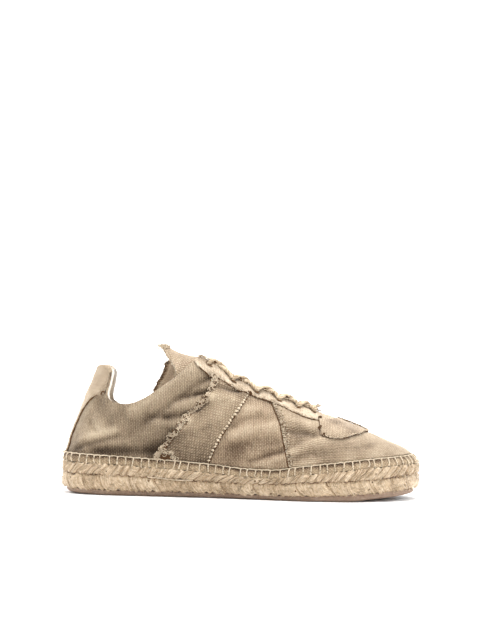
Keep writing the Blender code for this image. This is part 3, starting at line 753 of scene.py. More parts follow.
def linear(*colour):
    """A colour given as display values from 0 to 255."""
    share = np.array(colour) / 255.0
    curve = np.where(share > 0.04045, ((share + 0.055) / 1.055) ** 2.4, share / 12.92)
    return tuple(float(c) for c in curve)


class Finish:
    """A material whose nodes are added one by one; values may be numbers, colours or sockets."""

    def __init__(self, name, roughness=0.9, sheen=0.0, specular=0.3):
        self.made = bpy.data.materials.new(name)
        self.made.use_nodes = True
        self.tree = self.made.node_tree
        self.shader = self.tree.nodes["Principled BSDF"]
        self.shader.inputs["Roughness"].default_value = roughness
        self.shader.inputs["Sheen Weight"].default_value = sheen
        self.shader.inputs["Sheen Roughness"].default_value = 0.5
        self.shader.inputs["Specular IOR Level"].default_value = specular

    def feed(self, socket, value):
        if isinstance(value, bpy.types.NodeSocket):
            self.tree.links.new(value, socket)
        elif isinstance(value, tuple) and len(value) == 3 and socket.type == "RGBA":
            socket.default_value = (*value, 1.0)
        else:
            socket.default_value = value

    def node(self, kind, out=0, **inputs):
        made = self.tree.nodes.new("ShaderNode" + kind)
        for name, value in inputs.items():
            if name.startswith("_"):
                setattr(made, name[1:], value)
        for name, value in inputs.items():
            if not name.startswith("_"):
                socket = int(name[1:]) if name[1:].isdigit() else name.replace("_", " ")
                self.feed(made.inputs[socket], value)
        return made.outputs[out]

    def maths(self, operation, first, second=0.0, third=0.0):
        return self.node("Math", _operation=operation, i0=first, i1=second, i2=third)

    def mixed(self, value, *shares):
        """The value with a share of each other value added."""
        for other, share in shares:
            value = self.maths("MULTIPLY_ADD", other, share, value)
        return value

    def noise(self, place, scale, detail=3.0, rough=0.6):
        return self.node("TexNoise", Vector=place, Scale=scale, Detail=detail, Roughness=rough)

    def stretched(self, place, across, turn=0.0):
        """The place with its axes scaled, for marks that are longer one way."""
        return self.node("Mapping", Vector=place, Scale=across, Rotation=(0.0, 0.0, math.radians(turn)))

    def grain(self):
        return self.node("UVMap", _uv_map="grain")

    def tone(self):
        return self.node("Attribute", out=2, _attribute_name="tone")

    def place(self):
        return self.node("TexCoord", out=3)

    def ramp(self, value, *stops):
        made = self.tree.nodes.new("ShaderNodeValToRGB")
        self.feed(made.inputs[0], value)
        elements = made.color_ramp.elements
        while len(elements) < len(stops):
            elements.new(0.5)
        for element, (at, colour) in zip(elements, stops):
            element.position = at
            element.color = (*linear(*colour), 1.0)
        return made.outputs[0]

    def finish(self, colour, height, distance, strength=1.0, roughness=None):
        self.feed(self.shader.inputs["Base Color"], colour)
        if roughness is not None:
            self.feed(self.shader.inputs["Roughness"], roughness)
        bump = self.node("Bump", Height=height, Distance=distance * MM, Strength=strength)
        self.feed(self.shader.inputs["Normal"], bump)
        return self.made


def canvas(name, dark, middle, light, turn=0.0, pitch=1.35, ribbed=0.5):
    """Plain-woven canvas. The grain is in millimetres; ribbed makes its upright threads stronger."""
    f = Finish(name, roughness=0.92, sheen=0.1, specular=0.2)
    grain = f.grain()
    waver = f.noise(grain, 0.09, 2.0)
    turned = f.node("Mapping", Vector=grain, Rotation=(0.0, 0.0, math.radians(turn)))
    drift = f.node("TexNoise", out=1, Vector=grain, Scale=0.16, Detail=2.0)
    drift = f.node("VectorMath", _operation="SCALE", i0=drift, Scale=1.6)
    shifted = f.node("VectorMath", _operation="ADD", i0=turned, i1=drift)
    waves = []
    for axis, size in enumerate((pitch, pitch * 0.92)):
        place = f.node("SeparateXYZ", out=axis, Vector=shifted)
        waves.append(f.maths("SINE", f.maths("MULTIPLY", place, math.pi / size)))
    ribs, wefts = (f.maths("ABSOLUTE", wave) for wave in waves)
    checker = f.maths("MULTIPLY_ADD", f.maths("MULTIPLY", *waves), 0.5, 0.5)
    woven = f.node("Mix", out=0, i0=ribbed, i2=checker, i3=ribs)
    woven = f.mixed(woven, (f.maths("MULTIPLY", ribs, wefts), 0.35))
    slubs = f.noise(f.stretched(grain, (0.8, 0.1, 1.0), turn), 1.0, 3.0)
    wefty = f.noise(f.stretched(grain, (0.1, 0.8, 1.0), turn), 1.0, 3.0)
    blotch = f.noise(f.place(), 30.0, 4.0, 0.62)
    specks = f.noise(f.place(), 760.0, 2.0)
    value = f.mixed(f.tone(), (woven, 0.4), (slubs, 0.42), (wefty, 0.36), (blotch, 0.4), (specks, 0.4))
    colour = f.ramp(f.maths("SUBTRACT", value, 0.57), (0.05, dark), (0.5, middle), (0.95, light))
    height = f.mixed(woven, (slubs, 0.6), (specks, 0.5))
    return f.finish(colour, height, 0.5, 1.0, f.maths("MULTIPLY_ADD", waver, 0.12, 0.84))


def plaited_jute():
    """Jute strands. Along the grain's second column lie the fibres of the strand below."""
    f = Finish("plaited_jute", roughness=0.85, sheen=0.3, specular=0.25)
    grain = f.grain()
    fibre = f.noise(f.stretched(grain, (0.8, 0.12, 1.0)), 1.0, 4.0, 0.7)
    fine = f.noise(f.stretched(grain, (2.4, 0.2, 1.0)), 1.0, 3.0, 0.65)
    blotch = f.noise(f.place(), 60.0, 4.0, 0.65)
    specks = f.node("TexVoronoi", Vector=f.place(), Scale=170.0)
    knots = f.maths("LESS_THAN", specks, 0.16)
    few = f.maths("GREATER_THAN", f.noise(f.place(), 61.0, 1.0), 0.57)
    value = f.maths("SUBTRACT", f.mixed(f.tone(), (fibre, 0.9), (fine, 1.0), (blotch, 0.6)), 0.72)
    value = f.maths("SUBTRACT", value, f.maths("MULTIPLY", f.maths("MULTIPLY", knots, few), 0.5))
    stops = (0.0, (66, 48, 32)), (0.24, (136, 110, 82)), (0.52, (192, 168, 138)), (0.9, (236, 218, 192))
    return f.finish(f.ramp(value, *stops), f.mixed(fibre, (fine, 0.6)), 0.8, 0.9)


def spun(name, dark, light, twist=1.1, plies=1):
    """Twisted thread or cord: slanting plies along its grain."""
    f = Finish(name, roughness=0.8, sheen=0.03, specular=0.15)
    grain = f.grain()
    u = f.node("SeparateXYZ", Vector=grain)
    v = f.node("SeparateXYZ", out=1, Vector=grain)
    round_it = f.maths("MULTIPLY", v, plies * math.pi / 3)
    ply = f.maths("SINE", f.maths("MULTIPLY_ADD", u, 2 * math.pi / twist, round_it))
    fuzz = f.noise(f.place(), 1300.0, 3.0)
    blotch = f.noise(f.place(), 60.0, 3.0)
    value = f.mixed(f.tone(), (ply, 0.13), (fuzz, 0.45), (blotch, 0.45))
    return f.finish(f.ramp(value, (0.1, dark), (0.75, light)), f.mixed(ply, (fuzz, 0.7)), 0.25, 0.8)


def crepe_rubber():
    f = Finish("crepe_rubber", roughness=0.75, specular=0.35)
    coarse = f.noise(f.place(), 45.0, 5.0, 0.65)
    fine = f.noise(f.place(), 480.0, 4.0, 0.7)
    scuffs = f.noise(f.stretched(f.place(), (14.0, 14.0, 260.0)), 1.0, 4.0)
    value = f.mixed(f.maths("MULTIPLY", coarse, 0.45), (fine, 0.4), (scuffs, 0.3))
    colour = f.ramp(value, (0.25, (108, 86, 71)), (0.55, (146, 123, 106)), (0.85, (182, 160, 141)))
    rough = f.maths("MULTIPLY_ADD", coarse, 0.3, 0.6)
    return f.finish(colour, f.maths("ADD", coarse, fine), 0.5, 0.6, rough)


QUARTER_CANVAS = canvas("quarter_canvas", (66, 52, 38), (138, 120, 98), (188, 170, 144), ribbed=0.55)
PANEL_CANVAS = canvas("panel_canvas", (80, 62, 46), (152, 131, 107), (198, 178, 152), ribbed=0.5)
BAND_CANVAS = canvas("band_canvas", (72, 58, 44), (147, 128, 105), (194, 176, 150), 52.0, 1.5, 0.3)
VAMP_CANVAS = canvas("vamp_canvas", (78, 62, 46), (158, 138, 114), (204, 186, 160), turn=90.0, ribbed=0.6)
PALE_CANVAS = canvas("pale_canvas", (92, 74, 56), (170, 150, 126), (212, 195, 172), ribbed=0.35, pitch=1.25)
RAND_CANVAS = canvas("rand_canvas", (72, 54, 38), (158, 137, 110), (204, 184, 154), ribbed=0.3)
LINING = canvas("cotton_lining", (168, 150, 130), (222, 208, 190), (250, 243, 232), pitch=0.9, ribbed=0.2)
# the same cotton as the lining, painted lighter for where it shows lit at the tab
LIT_TAB_LINING = canvas("lit_tab_lining_cotton", (200, 186, 168), (236, 227, 214), (250, 245, 236), 0.0, 0.9, 0.2)
DARK_LINING = canvas("tongue_lining", (112, 90, 68), (214, 188, 160), (246, 228, 204), pitch=1.1)
JUTE = plaited_jute()
RUBBER = crepe_rubber()
STITCH = spun("stitch_thread", (172, 148, 116), (238, 222, 198))
FRAY = spun("frayed_thread", (146, 118, 88), (252, 235, 208), twist=0.9)
# dark thread that stands for painted shadow in gaps and under raw edges
PAINTED_SHADOW_THREAD = spun("shadowed_thread", (62, 40, 22), (116, 84, 54), twist=0.9)
LACE = spun("cotton_lace", (126, 102, 74), (220, 200, 172), twist=2.4, plies=4)
HAIR = spun("jute_hair", (150, 122, 88), (230, 208, 176), twist=1.5)


# Sole


def caps(points):
    """Two faces of strips that close the ends of a grid of rings."""
    count = points.shape[1]
    half = np.arange(count // 2 + 1)
    made = []
    for ring in (points[0], points[-1]):
        strip = np.stack([ring[half], ring[(count - half) % count]])
        made.append(grid_part(strip, strip[..., :2], 0.0))
    return made


def ring_grain(points):
    """Grain of a closed grid of rings: along the edge, and up its section."""
    rows, count = points.shape[:2]
    along = np.broadcast_to(round_edge(count, 1), (rows, count + 1))
    up = added_up(np.linalg.norm(np.diff(points, axis=0), axis=-1).mean(axis=1))
    return np.stack([along, np.broadcast_to(up[:, None], along.shape)], axis=-1)


def ring_part(rows, grains, tones):
    """Points and part of a closed grid, from rows whose last column repeats the first."""
    points = np.array(rows)[:, :-1]
    return points, grid_part(points, np.array(grains), np.array(tones)[:, :-1], closed=True)


def add_outsole():
    profile = (
        (3.2, "floor", 0.0),
        (2.4, "floor", 0.0),
        (1.4, "floor", 0.2),
        (0.7, "floor", 0.6),
        (0.2, "floor", 1.2),
        (0.0, "floor", 1.9),
        (0.1, "jute", -0.6),
        (0.0, "jute", 0.0),
    )
    rings = []
    for inset, level, lift in profile:
        xy = edge_point(round_edge(OUTSOLE_COLUMNS), OUTSOLE_INSET + inset)
        rings.append(np.column_stack([xy, side_height(level, xy[:, 0]) + lift]))
    points = np.array(rings)
    parts = [grid_part(points, ring_grain(points), 0.0, True)] + caps(points)
    add_mesh("rubber_outsole", parts, RUBBER, "outsole", True)


STRAND = 6.4  # along the edge, of the upper course
LOBE = 20.0  # of the lower course


def strand_edges(pitch, spread, seed):
    """Where the strands of uneven width lie along the edge."""
    widths = np.random.default_rng(seed).uniform(1 - spread, 1 + spread, round(EDGE / pitch))
    return added_up(widths) * EDGE / widths.sum()


STRANDS = strand_edges(STRAND, 0.4, 21)
LOBES = strand_edges(LOBE, 0.35, 22)


def strand_relief(distance, place, q, upper):
    """Height of the plait, 0 in its grooves to 1, with its tone, which has painted shade in the grooves,
    and the way its fibres run.
    """
    edges = STRANDS if upper else LOBES
    sway = ripple(place * (0.5, 0.5, 0) + (0, 0, 3.0 * q), 8.0, 23 if upper else 24)
    if upper:
        run = (3.4 + 1.2 * np.sin(distance / 19.0)) * math.sin((q - 0.5) * 2.4) + 0.7 * sway
    else:
        run = 6.0 * (1 - q) ** 2 + 1.2 * sway
    along = (distance - run) % EDGE
    phase = np.interp(along, edges, np.arange(len(edges)))
    share = phase - np.floor(phase)
    if upper:
        body = np.sin(math.pi * share) ** 0.7
    else:
        ribs = np.abs(np.sin(math.pi * along / 3.1 + 1.5 * sway))
        body = np.clip((1 - share) / 0.08, 0, 1) * (0.5 + 0.5 * share) * (0.72 + 0.28 * ribs)
    uneven = np.random.default_rng(41).uniform(-1.0, 1.0, len(edges))[np.floor(phase).astype(int)]
    # painted shade in the grooves between strands
    groove = fade(body, 0.3) * (0.6 + 0.4 * uneven)
    deep = 0.36 if upper else 0.5
    return body, 0.07 * uneven - deep * groove, distance - run


def add_jute():
    """Both courses of the plait as one skin, in and out of its grooves."""
    distance = np.arange(JUTE_COLUMNS + 1) / JUTE_COLUMNS * EDGE
    level = np.column_stack([edge_point(distance), 0 * distance])
    rows, tones, grains = [], [], []
    for low, high, upper in (("jute", "groove", False), ("groove", "rand", True)):
        for q in evenly(26)[1 if upper else 0:]:
            place = level + (0.0, 0.0, 20.0 * q)
            body, tone, fibre = strand_relief(distance, place, q, upper)
            edge = np.abs(2 * q - 1)
            top = upper and q > 0.5
            relief = (1.6 if upper else 0.9) * (1 - body) * (1 - edge**8)
            inset = (1.1 if top else 1.5) * edge**4.5 + relief + 0.24 * ripple(place, 2.4, 31)
            xy = edge_point(distance, inset)
            z = (1 - q) * side_height(low, xy[:, 0]) + q * side_height(high, xy[:, 0])
            rows.append(np.column_stack([xy, z + 0.6 * ripple(level, 5.0, 32) * edge**4]))
            # painted shade at the edges of each course: deep at the division and along the bottom, slight
            # under the rand
            gap = 0.05 if top else 0.36 + 0.22 * ripple(level, 9.0, 33)
            tones.append(tone - gap * edge**8)
            grains.append(np.stack([fibre, 0 * distance + 10.0 * q + 30.0 * upper], axis=-1))
    points, part = ring_part(rows, grains, tones)
    add_mesh("jute_plait", [part] + caps(points), JUTE, "jute_midsole", True)


STITCH_PITCH = 6.4
STITCH_COUNT = round(EDGE / STITCH_PITCH)


def rand_profile(share):
    """Inset and height share of the rand's section, from the jute up, over and down inside."""
    inner = RAND_INSET + RAND_THICKNESS
    at = (0.0, 0.1, 0.3, 0.55, 0.7, 0.78, 0.86, 1.0)
    insets = (1.3, 0.75, 0.5, 0.7, 1.2, 1.9, inner, inner)
    lifts = (0.02, 0.02, 0.4, 0.85, 0.98, 1.0, 0.95, 0.0)
    return np.interp(share, at, insets), np.interp(share, at, lifts)


def rand_point(distance, inset, lift, out=0.0):
    """Point of the rand at a share of its height. Its lean grows with the height."""
    foot = edge_point(distance)
    lean = side_height("lean", foot[..., 0])
    xy = edge_point(distance, inset + lift * lean - out)
    low, high = side_height("rand", foot[..., 0]), side_height("top", foot[..., 0])
    return np.concatenate([xy, (low + lift * (high - low))[..., None]], axis=-1)


def add_rand():
    distance = round_edge(RAND_COLUMNS, 1)
    foot = edge_point(distance)
    stitch = distance / EDGE * STITCH_COUNT
    near_stitch = np.abs(stitch - np.round(stitch)) * STITCH_PITCH
    ahead = np.interp(foot[:, 0], (235.0, 275.0), (1.0, 0.35))
    rows, tones, grains = [], [], []
    for share in evenly(25):
        inset, lift = rand_profile(share)
        pinch = 0.25 * fade(near_stitch, 1.3) * (lift > 0.05)
        place = np.column_stack([foot, 0 * distance + 9 * share])
        inset = inset + pinch + 0.12 * ripple(place, 6.0, 51)
        rows.append(rand_point(distance, inset, lift + 0 * distance))
        shadow = np.clip((lift - 0.35) / 0.5, 0, 1) ** 1.5 * ahead
        tones.append(-0.42 * shadow + 0.09 * ripple(place, 5.0, 52))
        grains.append(np.stack([distance, 0 * distance + 14 * share], axis=-1))
    add_mesh("canvas_rand", [ring_part(rows, grains, tones)[1]], RAND_CANVAS, "rand", True)


def add_blanket_stitch():
    """Bars over the rand, and the thread that links their upper ends."""
    random = np.random.default_rng(61)
    at = (np.arange(STITCH_COUNT) + random.uniform(-0.2, 0.2, STITCH_COUNT)) * EDGE / STITCH_COUNT
    share = evenly(8)
    paths = []
    for centre in at:
        lift = 1.02 - random.uniform(0.85, 1.15) * share
        out = 0.75 + 0.35 * np.sin(math.pi * share) - 0.9 * share**6
        inset = np.interp(lift, (-0.3, 0.0, 0.4, 0.85, 1.05), (1.2, 0.6, 0.5, 0.7, 1.5))
        slant = random.normal(-0.3, 0.55) * share + random.normal(0, 0.2) * np.sin(math.pi * share)
        paths.append(rand_point(centre + slant, inset, lift, out))
    parts = []
    for path in paths:
        width = 0.36 + random.uniform(0, 0.12) + 0.14 * np.abs(2 * share - 1) ** 3
        parts.append(tube_part(path, width, 6, random.uniform(-0.12, 0.12)))
    add_mesh("blanket_stitch_bars", parts, STITCH)
    points = []
    for start, end in zip(at, np.append(at[1:], at[0] + EDGE)):
        share = evenly(7)[:-1]
        distance = start + share * (end - start)
        lift = 1.0 + 0.05 * np.sin(math.pi * share) + random.uniform(-0.03, 0.03, 6)
        points.append(rand_point(distance, 1.5 + 0 * share, lift, 0.62 + 0.15 * np.sin(math.pi * share)))
    ring = np.concatenate(points)
    ring = np.concatenate([ring, ring[:2]])
    width = 0.44 + 0.08 * ripple(ring, 5.0, 62)
    add_mesh("blanket_stitch_edge", [tube_part(ring, width, 6)], STITCH)


def add_insole():
    edge = RAND_INSET + RAND_THICKNESS + UPPER_WALL + 0.4
    profile = ((0.0, 0.0), (0.0, 2.6), (0.5, 3.5), (1.6, 3.95), (4.0, INSOLE_THICKNESS))
    distance = round_edge(INSOLE_COLUMNS)
    lean = side_height("lean", edge_point(distance)[:, 0])
    rings = []
    for inward, height in profile:
        xy = edge_point(distance, edge + inward + lean)
        rings.append(np.column_stack([xy, side_height("rand", xy[:, 0]) + height]))
    points = np.array(rings)
    half = np.arange(INSOLE_COLUMNS // 2 + 1)
    lateral, medial = points[-1][half], points[-1][(INSOLE_COLUMNS - half) % INSOLE_COLUMNS]
    share = evenly(31)[:, None, None]
    bed = lateral * (1 - share) + medial * share
    bed[..., 2] -= 1.2 * np.sin(math.pi * share[..., 0]) + 0.15 * ripple(bed, 16.0, 71) - 0.1
    bed[..., 2] = np.minimum(bed[..., 2], lateral[:, 2])
    parts = [grid_part(points, ring_grain(points), 0.0, True), grid_part(bed, bed[..., :2], -0.1)]
    add_mesh("cotton_insole", parts + caps(points)[:1], LINING, "insole", True)


# Upper


def sheet_grid(angles, side, v, out, tone, with_wear_and_light=False):
    points, grain, shade = draped(angles, side, v, out)
    # the flag adds soiling, painted shade low on the side and painted highlights at the toe and heel
    return grid_part(points, grain, shade + tone + (wear_and_painted_light(points) if with_wear_and_light else 0.0))


def wear_and_painted_light(points):
    """Tone of soiling and painted light: darker low on the side, partly soiling and partly painted shade
    where the canvas turns under; painted highlights over the toe, the heel's end and the heel's bulge; and
    darker on the side of the vamp.
    """
    x, z = points[..., 0], points[..., 2]
    # darker low on the side: soiling together with painted shade where the canvas turns under
    low = fade(z - 36.0, 9.0) * np.clip((200 - x) / 60, 0, 1)
    # painted highlight over the toe
    toe = np.clip((x - 235.0) / 40.0, 0, 1)
    # painted highlight where the heel's bulge catches the light
    bulge_highlight = fade(x - 28.0, 15.0) * fade(z - 50.0, 7.5)
    vamp = fade(x - 191.0, 15.0) * fade(z - 46.0, 14.0)
    # painted highlight at the heel's end, and darker on the side of the vamp
    return -0.2 * low + 0.12 * toe + 0.06 * fade(x - 8.0, 16.0) + 0.24 * bulge_highlight - 0.12 * vamp


def tab_top(angle):
    """Share of the height where the heel tab ends, a little lower behind and at its front corners."""
    behind = 0.5 + 0.5 * np.cos(np.pi * np.clip(angle / 11.0, 0, 1))
    corner = np.clip((angle - 13.0) / (TAB_ANGLE - 13.0), 0, 1) ** 2
    return 1 - np.where(angle <= TAB_ANGLE, 0.022 * behind + 0.018 * corner, 0.0)


def add_upper():
    """The canvas shell inside and out, with a cotton lining on its inner face."""
    angles = np.linspace(0.0, 180.0, 300)
    rows = evenly(50)[:, None]
    parts = []
    for side in SIDES:
        points, grain, tone = draped(angles, side, rows * tab_top(angles), 0.0)
        edge = outline(angles, side, upper_inset(heel_to_toe(angles)))
        hem = np.column_stack([edge, side_height("rand", edge[:, 0]) + 0.4])
        points = np.concatenate([hem[None], points])
        grain = np.concatenate([grain[:1] - (0.0, 6.0), grain])
        # soiling and painted shade low on the side, painted highlights at the toe and heel
        tone = np.concatenate([tone[:1], tone]) + wear_and_painted_light(points)
        parts.append(grid_part(points, grain, tone))
    add_sheet("canvas_upper", parts, (QUARTER_CANVAS, LINING), "upper", UPPER_WALL, False, True)


def strip_half_width(v):
    """Rib angle of the strip's edge. At its top the strip turns round the tab's front edges."""
    round_tab = np.interp(v, (0.72, 0.8, 0.9, 1.0), (0.0, 0.9, 1.7, 2.5))
    return smooth(HEEL_STRIP_EDGE["v"], HEEL_STRIP_EDGE["angle"], v) + round_tab


def add_heel_strip():
    rows = evenly(64)[:, None]
    across = evenly(22)
    parts = []
    for side in SIDES:
        ragged = 1 + 0.02 * ripple_along(40 * rows, 3.0, 81 + side)
        angles = strip_half_width(rows) * ragged * across
        tops = rows * tab_top(np.minimum(angles, TAB_ANGLE))
        # painted shade along the strip's edge, where it meets the quarter
        parts.append(sheet_grid(angles, side, tops, LAID, 0.06 - 0.14 * (across > 0.93)))
    add_sheet("heel_strip_canvas", parts, PALE_CANVAS, "heel_strip", 1.0, True)


def add_tab_trim():
    """The folded edge over the tab's top, and the cream lining that shows along its front, painted lighter
    than the lining inside where it shows lit.
    """
    share = evenly(60)
    angles = TAB_ANGLE * np.abs(2 * share - 1)
    near, far = (offset_rib(angles, side, tab_top(angles) - 0.015, 0.1) for side in SIDES)
    over = np.where((share < 0.5)[:, None], near, far)
    over[:, 2] += 0.35 * ripple(over, 6.0, 91)
    fold = tube_part(over, 1.7, 10, 0.0, (1.0, 0.0, 0.2))
    add_mesh("tab_fold", [fold], PALE_CANVAS)
    across = evenly(24)
    lowest = 0.58 + 0.16 * across**3
    rows = lowest + (0.985 - lowest) * evenly(40)[:, None]
    angles = TAB_ANGLE * across
    parts, rolls = [], []
    for side in SIDES:
        points = offset_rib(angles, side, rows * tab_top(angles), -UPPER_WALL - 0.1)
        points = points + 0.12 * ripple(points, 5.0, 92)[..., None] * (1.0, 0.0, 0.0)
        # tone raised: painted highlight on the lit lining
        parts.append(grid_part(points, points[..., 1:], 0.15))
    add_sheet("tab_lining", parts, LIT_TAB_LINING, None, 1.9, False)
    angles = np.linspace(19.0, 26.5, 50)
    for side in SIDES:
        path = offset_rib(angles, side, 1.0, -1.9) + (0.3, 0.0, -0.2)
        width = 1.0 * np.clip((26.5 - angles) / 4.0, 0.25, 1.0) + 0.1 * ripple(path, 5.0, 93)
        # tone raised: painted highlight on the lit lining roll
        rolls.append(tube_part(path, width, 10, 0.1))
    add_mesh("tab_lining_roll", rolls, LIT_TAB_LINING)


def add_band(side, word):
    """Slanting side band, its rear edge raw. Its tone has painted shade along both edges, low down and
    under the eyestay, with soiling low down too.
    """
    shares = evenly(64)
    rear = seam_angles(BAND_REAR, side, shares) + 0.25 * ripple_along(70 * shares, 4.0, 101 + side)
    front = seam_angles(BAND_FRONT, side, shares)
    across = evenly(34)
    angles = rear[:, None] + (front - rear)[:, None] * across
    shares = shares[:, None]
    # painted shade along both edges, beside the seams
    edge_shade = -0.16 * fade(across, 0.04) - 0.2 * fade(1 - across, 0.03)
    # darker low down, soiling together with painted shade; painted shade under the eyestay near the top
    dirt_and_shade = 0.34 * np.clip(1 - shares / 0.38, 0, 1) ** 0.7 + 0.1 * np.clip(shares / 0.3 - 2.0, 0, 1)
    part = sheet_grid(angles, side, shares * panel_top(angles, side), LAID, edge_shade + 0.04 - dirt_and_shade)
    add_sheet(word + "_band_canvas", [part], BAND_CANVAS, "band_" + word, 1.0, True)


def add_mid_panel(side, word):
    """Panel between the band and the vamp, a little proud of the shell under it."""
    shares = evenly(56)
    rear = seam_angles(BAND_FRONT, side, shares) + 0.3
    front = seam_angles(VAMP_REAR, side, shares) + 1.0
    angles = rear[:, None] + (front - rear)[:, None] * evenly(44)
    # the last argument adds soiling, painted shade low on the side and painted highlights
    part = sheet_grid(angles, side, shares[:, None] * panel_top(angles, side), 0.12, 0.0, True)
    add_sheet(word + "_mid_panel", [part], PANEL_CANVAS, None, 0.5, True)


def add_vamp():
    """Front panel from its rear seams round the toe, with painted shade along its rear edges."""
    shares = evenly(58)
    parts = []
    for side in SIDES:
        rear = seam_angles(VAMP_REAR, side, shares) + 0.2 * ripple_along(70 * shares, 4.0, 111 + side)
        behind = rear[:, None] + (118.0 - rear)[:, None] * evenly(22)[:-1]
        ahead = np.broadcast_to(np.linspace(118.0, 180.0, 92), (58, 92))
        angles = np.hstack([behind, ahead])
        # painted shade along the rear edge, beside the seam
        tone = -0.2 * fade(np.minimum(np.abs(angles - rear[:, None]), 3.0), 0.5)
        v = shares[:, None] * panel_top(angles, side)
        # the last argument adds soiling, painted shade low on the side and painted highlights at the toe
        parts.append(sheet_grid(angles, side, v, LAID, tone, True))
    add_sheet("vamp_canvas_panel", parts, VAMP_CANVAS, "vamp_panel", 1.0, True)


def add_toe_overlay():
    """Arrow-shaped piece on top of the toe, its edges raw and lying over the vamp."""
    angles = np.linspace(TOE_REAR, 180.0, 94)
    share = evenly(30)[:, None]
    parts = []
    for side in SIDES:
        low = np.interp(angles, EDGE_ANGLES, TOE_LOW[side]) + 0.008 * ripple_along(angles, 3.0, 121 + side)
        high = np.where(angles < EYESTAY_END, panel_top(angles, side), 1.0)
        v = low + (np.maximum(high, low + 0.002) - low) * share
        # painted shade along the lower edge
        parts.append(sheet_grid(angles, side, v, LAID + OVERLAY, -0.1 - 0.1 * fade(share, 0.05)))
    add_sheet("toe_overlay_canvas", parts, PALE_CANVAS, "toe_overlay", 1.0, True)


def eyelet_point(angle, side, out):
    v = 1 - share_for_length(angle, side, EYELET_EDGE)
    return offset_rib(angle, side, v, out)


def add_eyestay():
    """U-shaped strip round the throat, dimpled at its eyelets and dark there with painted shade in the
    holes; painted shade also runs along both edges.
    """
    angles = np.linspace(THROAT_TOP - 1.4, EYESTAY_END, 154)
    share = evenly(20)[:, None]
    parts = []
    for side in SIDES:
        low = eyestay_low(angles, side) + 0.006 * ripple_along(angles, 3.0, 131 + side)
        v = low + (1 - low) * share
        base = offset_rib(angles, side, v, LAID)
        holes = [eyelet_point(angle, side, LAID) for angle in EYELET_ANGLES]
        near = np.min([np.linalg.norm(base - hole, axis=-1) for hole in holes], axis=0)
        # painted shade in the eyelet holes
        tone = 0.12 + 0.1 * np.clip((102 - angles) / 10, 0, 1) - 0.75 * fade(near, 2.5, 4)
        # painted shade along both edges
        tone = tone - 0.14 * (fade(share, 0.07) + fade(1 - share, 0.07))
        out = LAID + 0.3 - 0.9 * fade(near, 2.4) + 0.22 * ripple(base, 5.0, 133)
        parts.append(sheet_grid(angles, side, v, out, tone))
    add_sheet("eyestay_canvas", parts, PALE_CANVAS, "eyestay", 0.9, True)


# Tongue and lace


def tongue_row(angle):
    """The tongue across the throat: under the upper at its edges, arched between them."""
    depth = -(UPPER_WALL + 0.9)
    edges = {
        side: [offset_rib(angle, side, v, depth) for v in (TONGUE_EDGE, (1 + TONGUE_EDGE) / 2, 1.0)]
        for side in SIDES
    }
    left, right = edges[LATERAL][-1], edges[MEDIAL][-1]
    rise = TONGUE_ARCH * abs(right[1] - left[1])
    arch = []
    for share in (0.25, 0.5, 0.75):
        p = left + (right - left) * share
        p[2] += rise * (1 - (2 * share - 1) ** 2)
        arch.append(p)
    return np.array(edges[LATERAL] + arch + edges[MEDIAL][::-1])


def refined(grid, rows, count):
    """A finer grid through a coarse one, curved both ways."""
    def along_first(coarse, number):
        at = np.linspace(0.0, len(coarse) - 1.0, number)
        knots = np.arange(len(coarse), dtype=float)
        flat = coarse.reshape(len(coarse), -1)
        fine = np.stack([smooth(knots, flat[:, k], at) for k in range(flat.shape[1])], axis=1)
        return fine.reshape(number, *coarse.shape[1:])

    fine = along_first(grid, rows)
    return np.swapaxes(along_first(np.swapaxes(fine, 0, 1), count), 0, 1)


def tongue_grid():
    rows = [tongue_row(angle) for angle in TONGUE_ANGLES]
    end = np.column_stack([TONGUE_END["x"], TONGUE_END["y"], TONGUE_END["z"]])
    for share in (0.25, 0.5, 0.75, 1.0):
        dip = (0.0, 0.0, TONGUE_DIP * math.sin(math.pi * share))
        rows.append(tongue_row(TONGUE_ANGLES[-1]) * (1 - share) + end * share - dip)
    points = refined(np.array(rows), 130, 60)
    free = np.clip((np.arange(130) - 85) / 40.0, 0, 1)[:, None]
    wobble = 0.5 * ripple(points, 15.0, 141) + 0.2 * ripple(points, 6.0, 142)
    points[..., 0] += wobble * (0.3 + free)
    points[-1, :, 0] -= 0.8 * np.abs(ripple(points[-1], 2.2, 143))
    points[-1, :, 2] += 0.8 * ripple(points[-1], 2.4, 144)
    return points


def add_tongue():
    """The canvas tongue. The half away from the lateral side shows its inner face and raw edge, with
    painted shadow along that edge.
    """
    points = tongue_grid()
    steps = np.linalg.norm(np.diff(points, axis=0), axis=-1)
    along = np.concatenate([np.zeros((1, 60)), np.cumsum(steps, axis=0)])
    to_end = along[-1] - along
    far_half = np.clip((np.arange(60) - 30) / 3.0, 0, 1)
    tone = 0.06 * ripple(points, 18.0, 145)
    # far half: lighter overall, a thin lighter line, and painted shadow over the last few millimetres of
    # its raw edge
    tone += far_half * (0.26 + 0.4 * fade(to_end - 4.6, 0.6) - 0.7 * fade(to_end, 3.2, 4))
    tone += (1 - far_half) * (0.2 * fade(to_end, 1.2) - 0.1)
    grain = np.stack([points[..., 1] * 1.2, along], axis=-1)
    finish = (PALE_CANVAS, DARK_LINING)
    part = grid_part(points, grain, tone)
    add_sheet("tongue_canvas", [part], finish, "tongue", TONGUE_WALL, False)
    return points


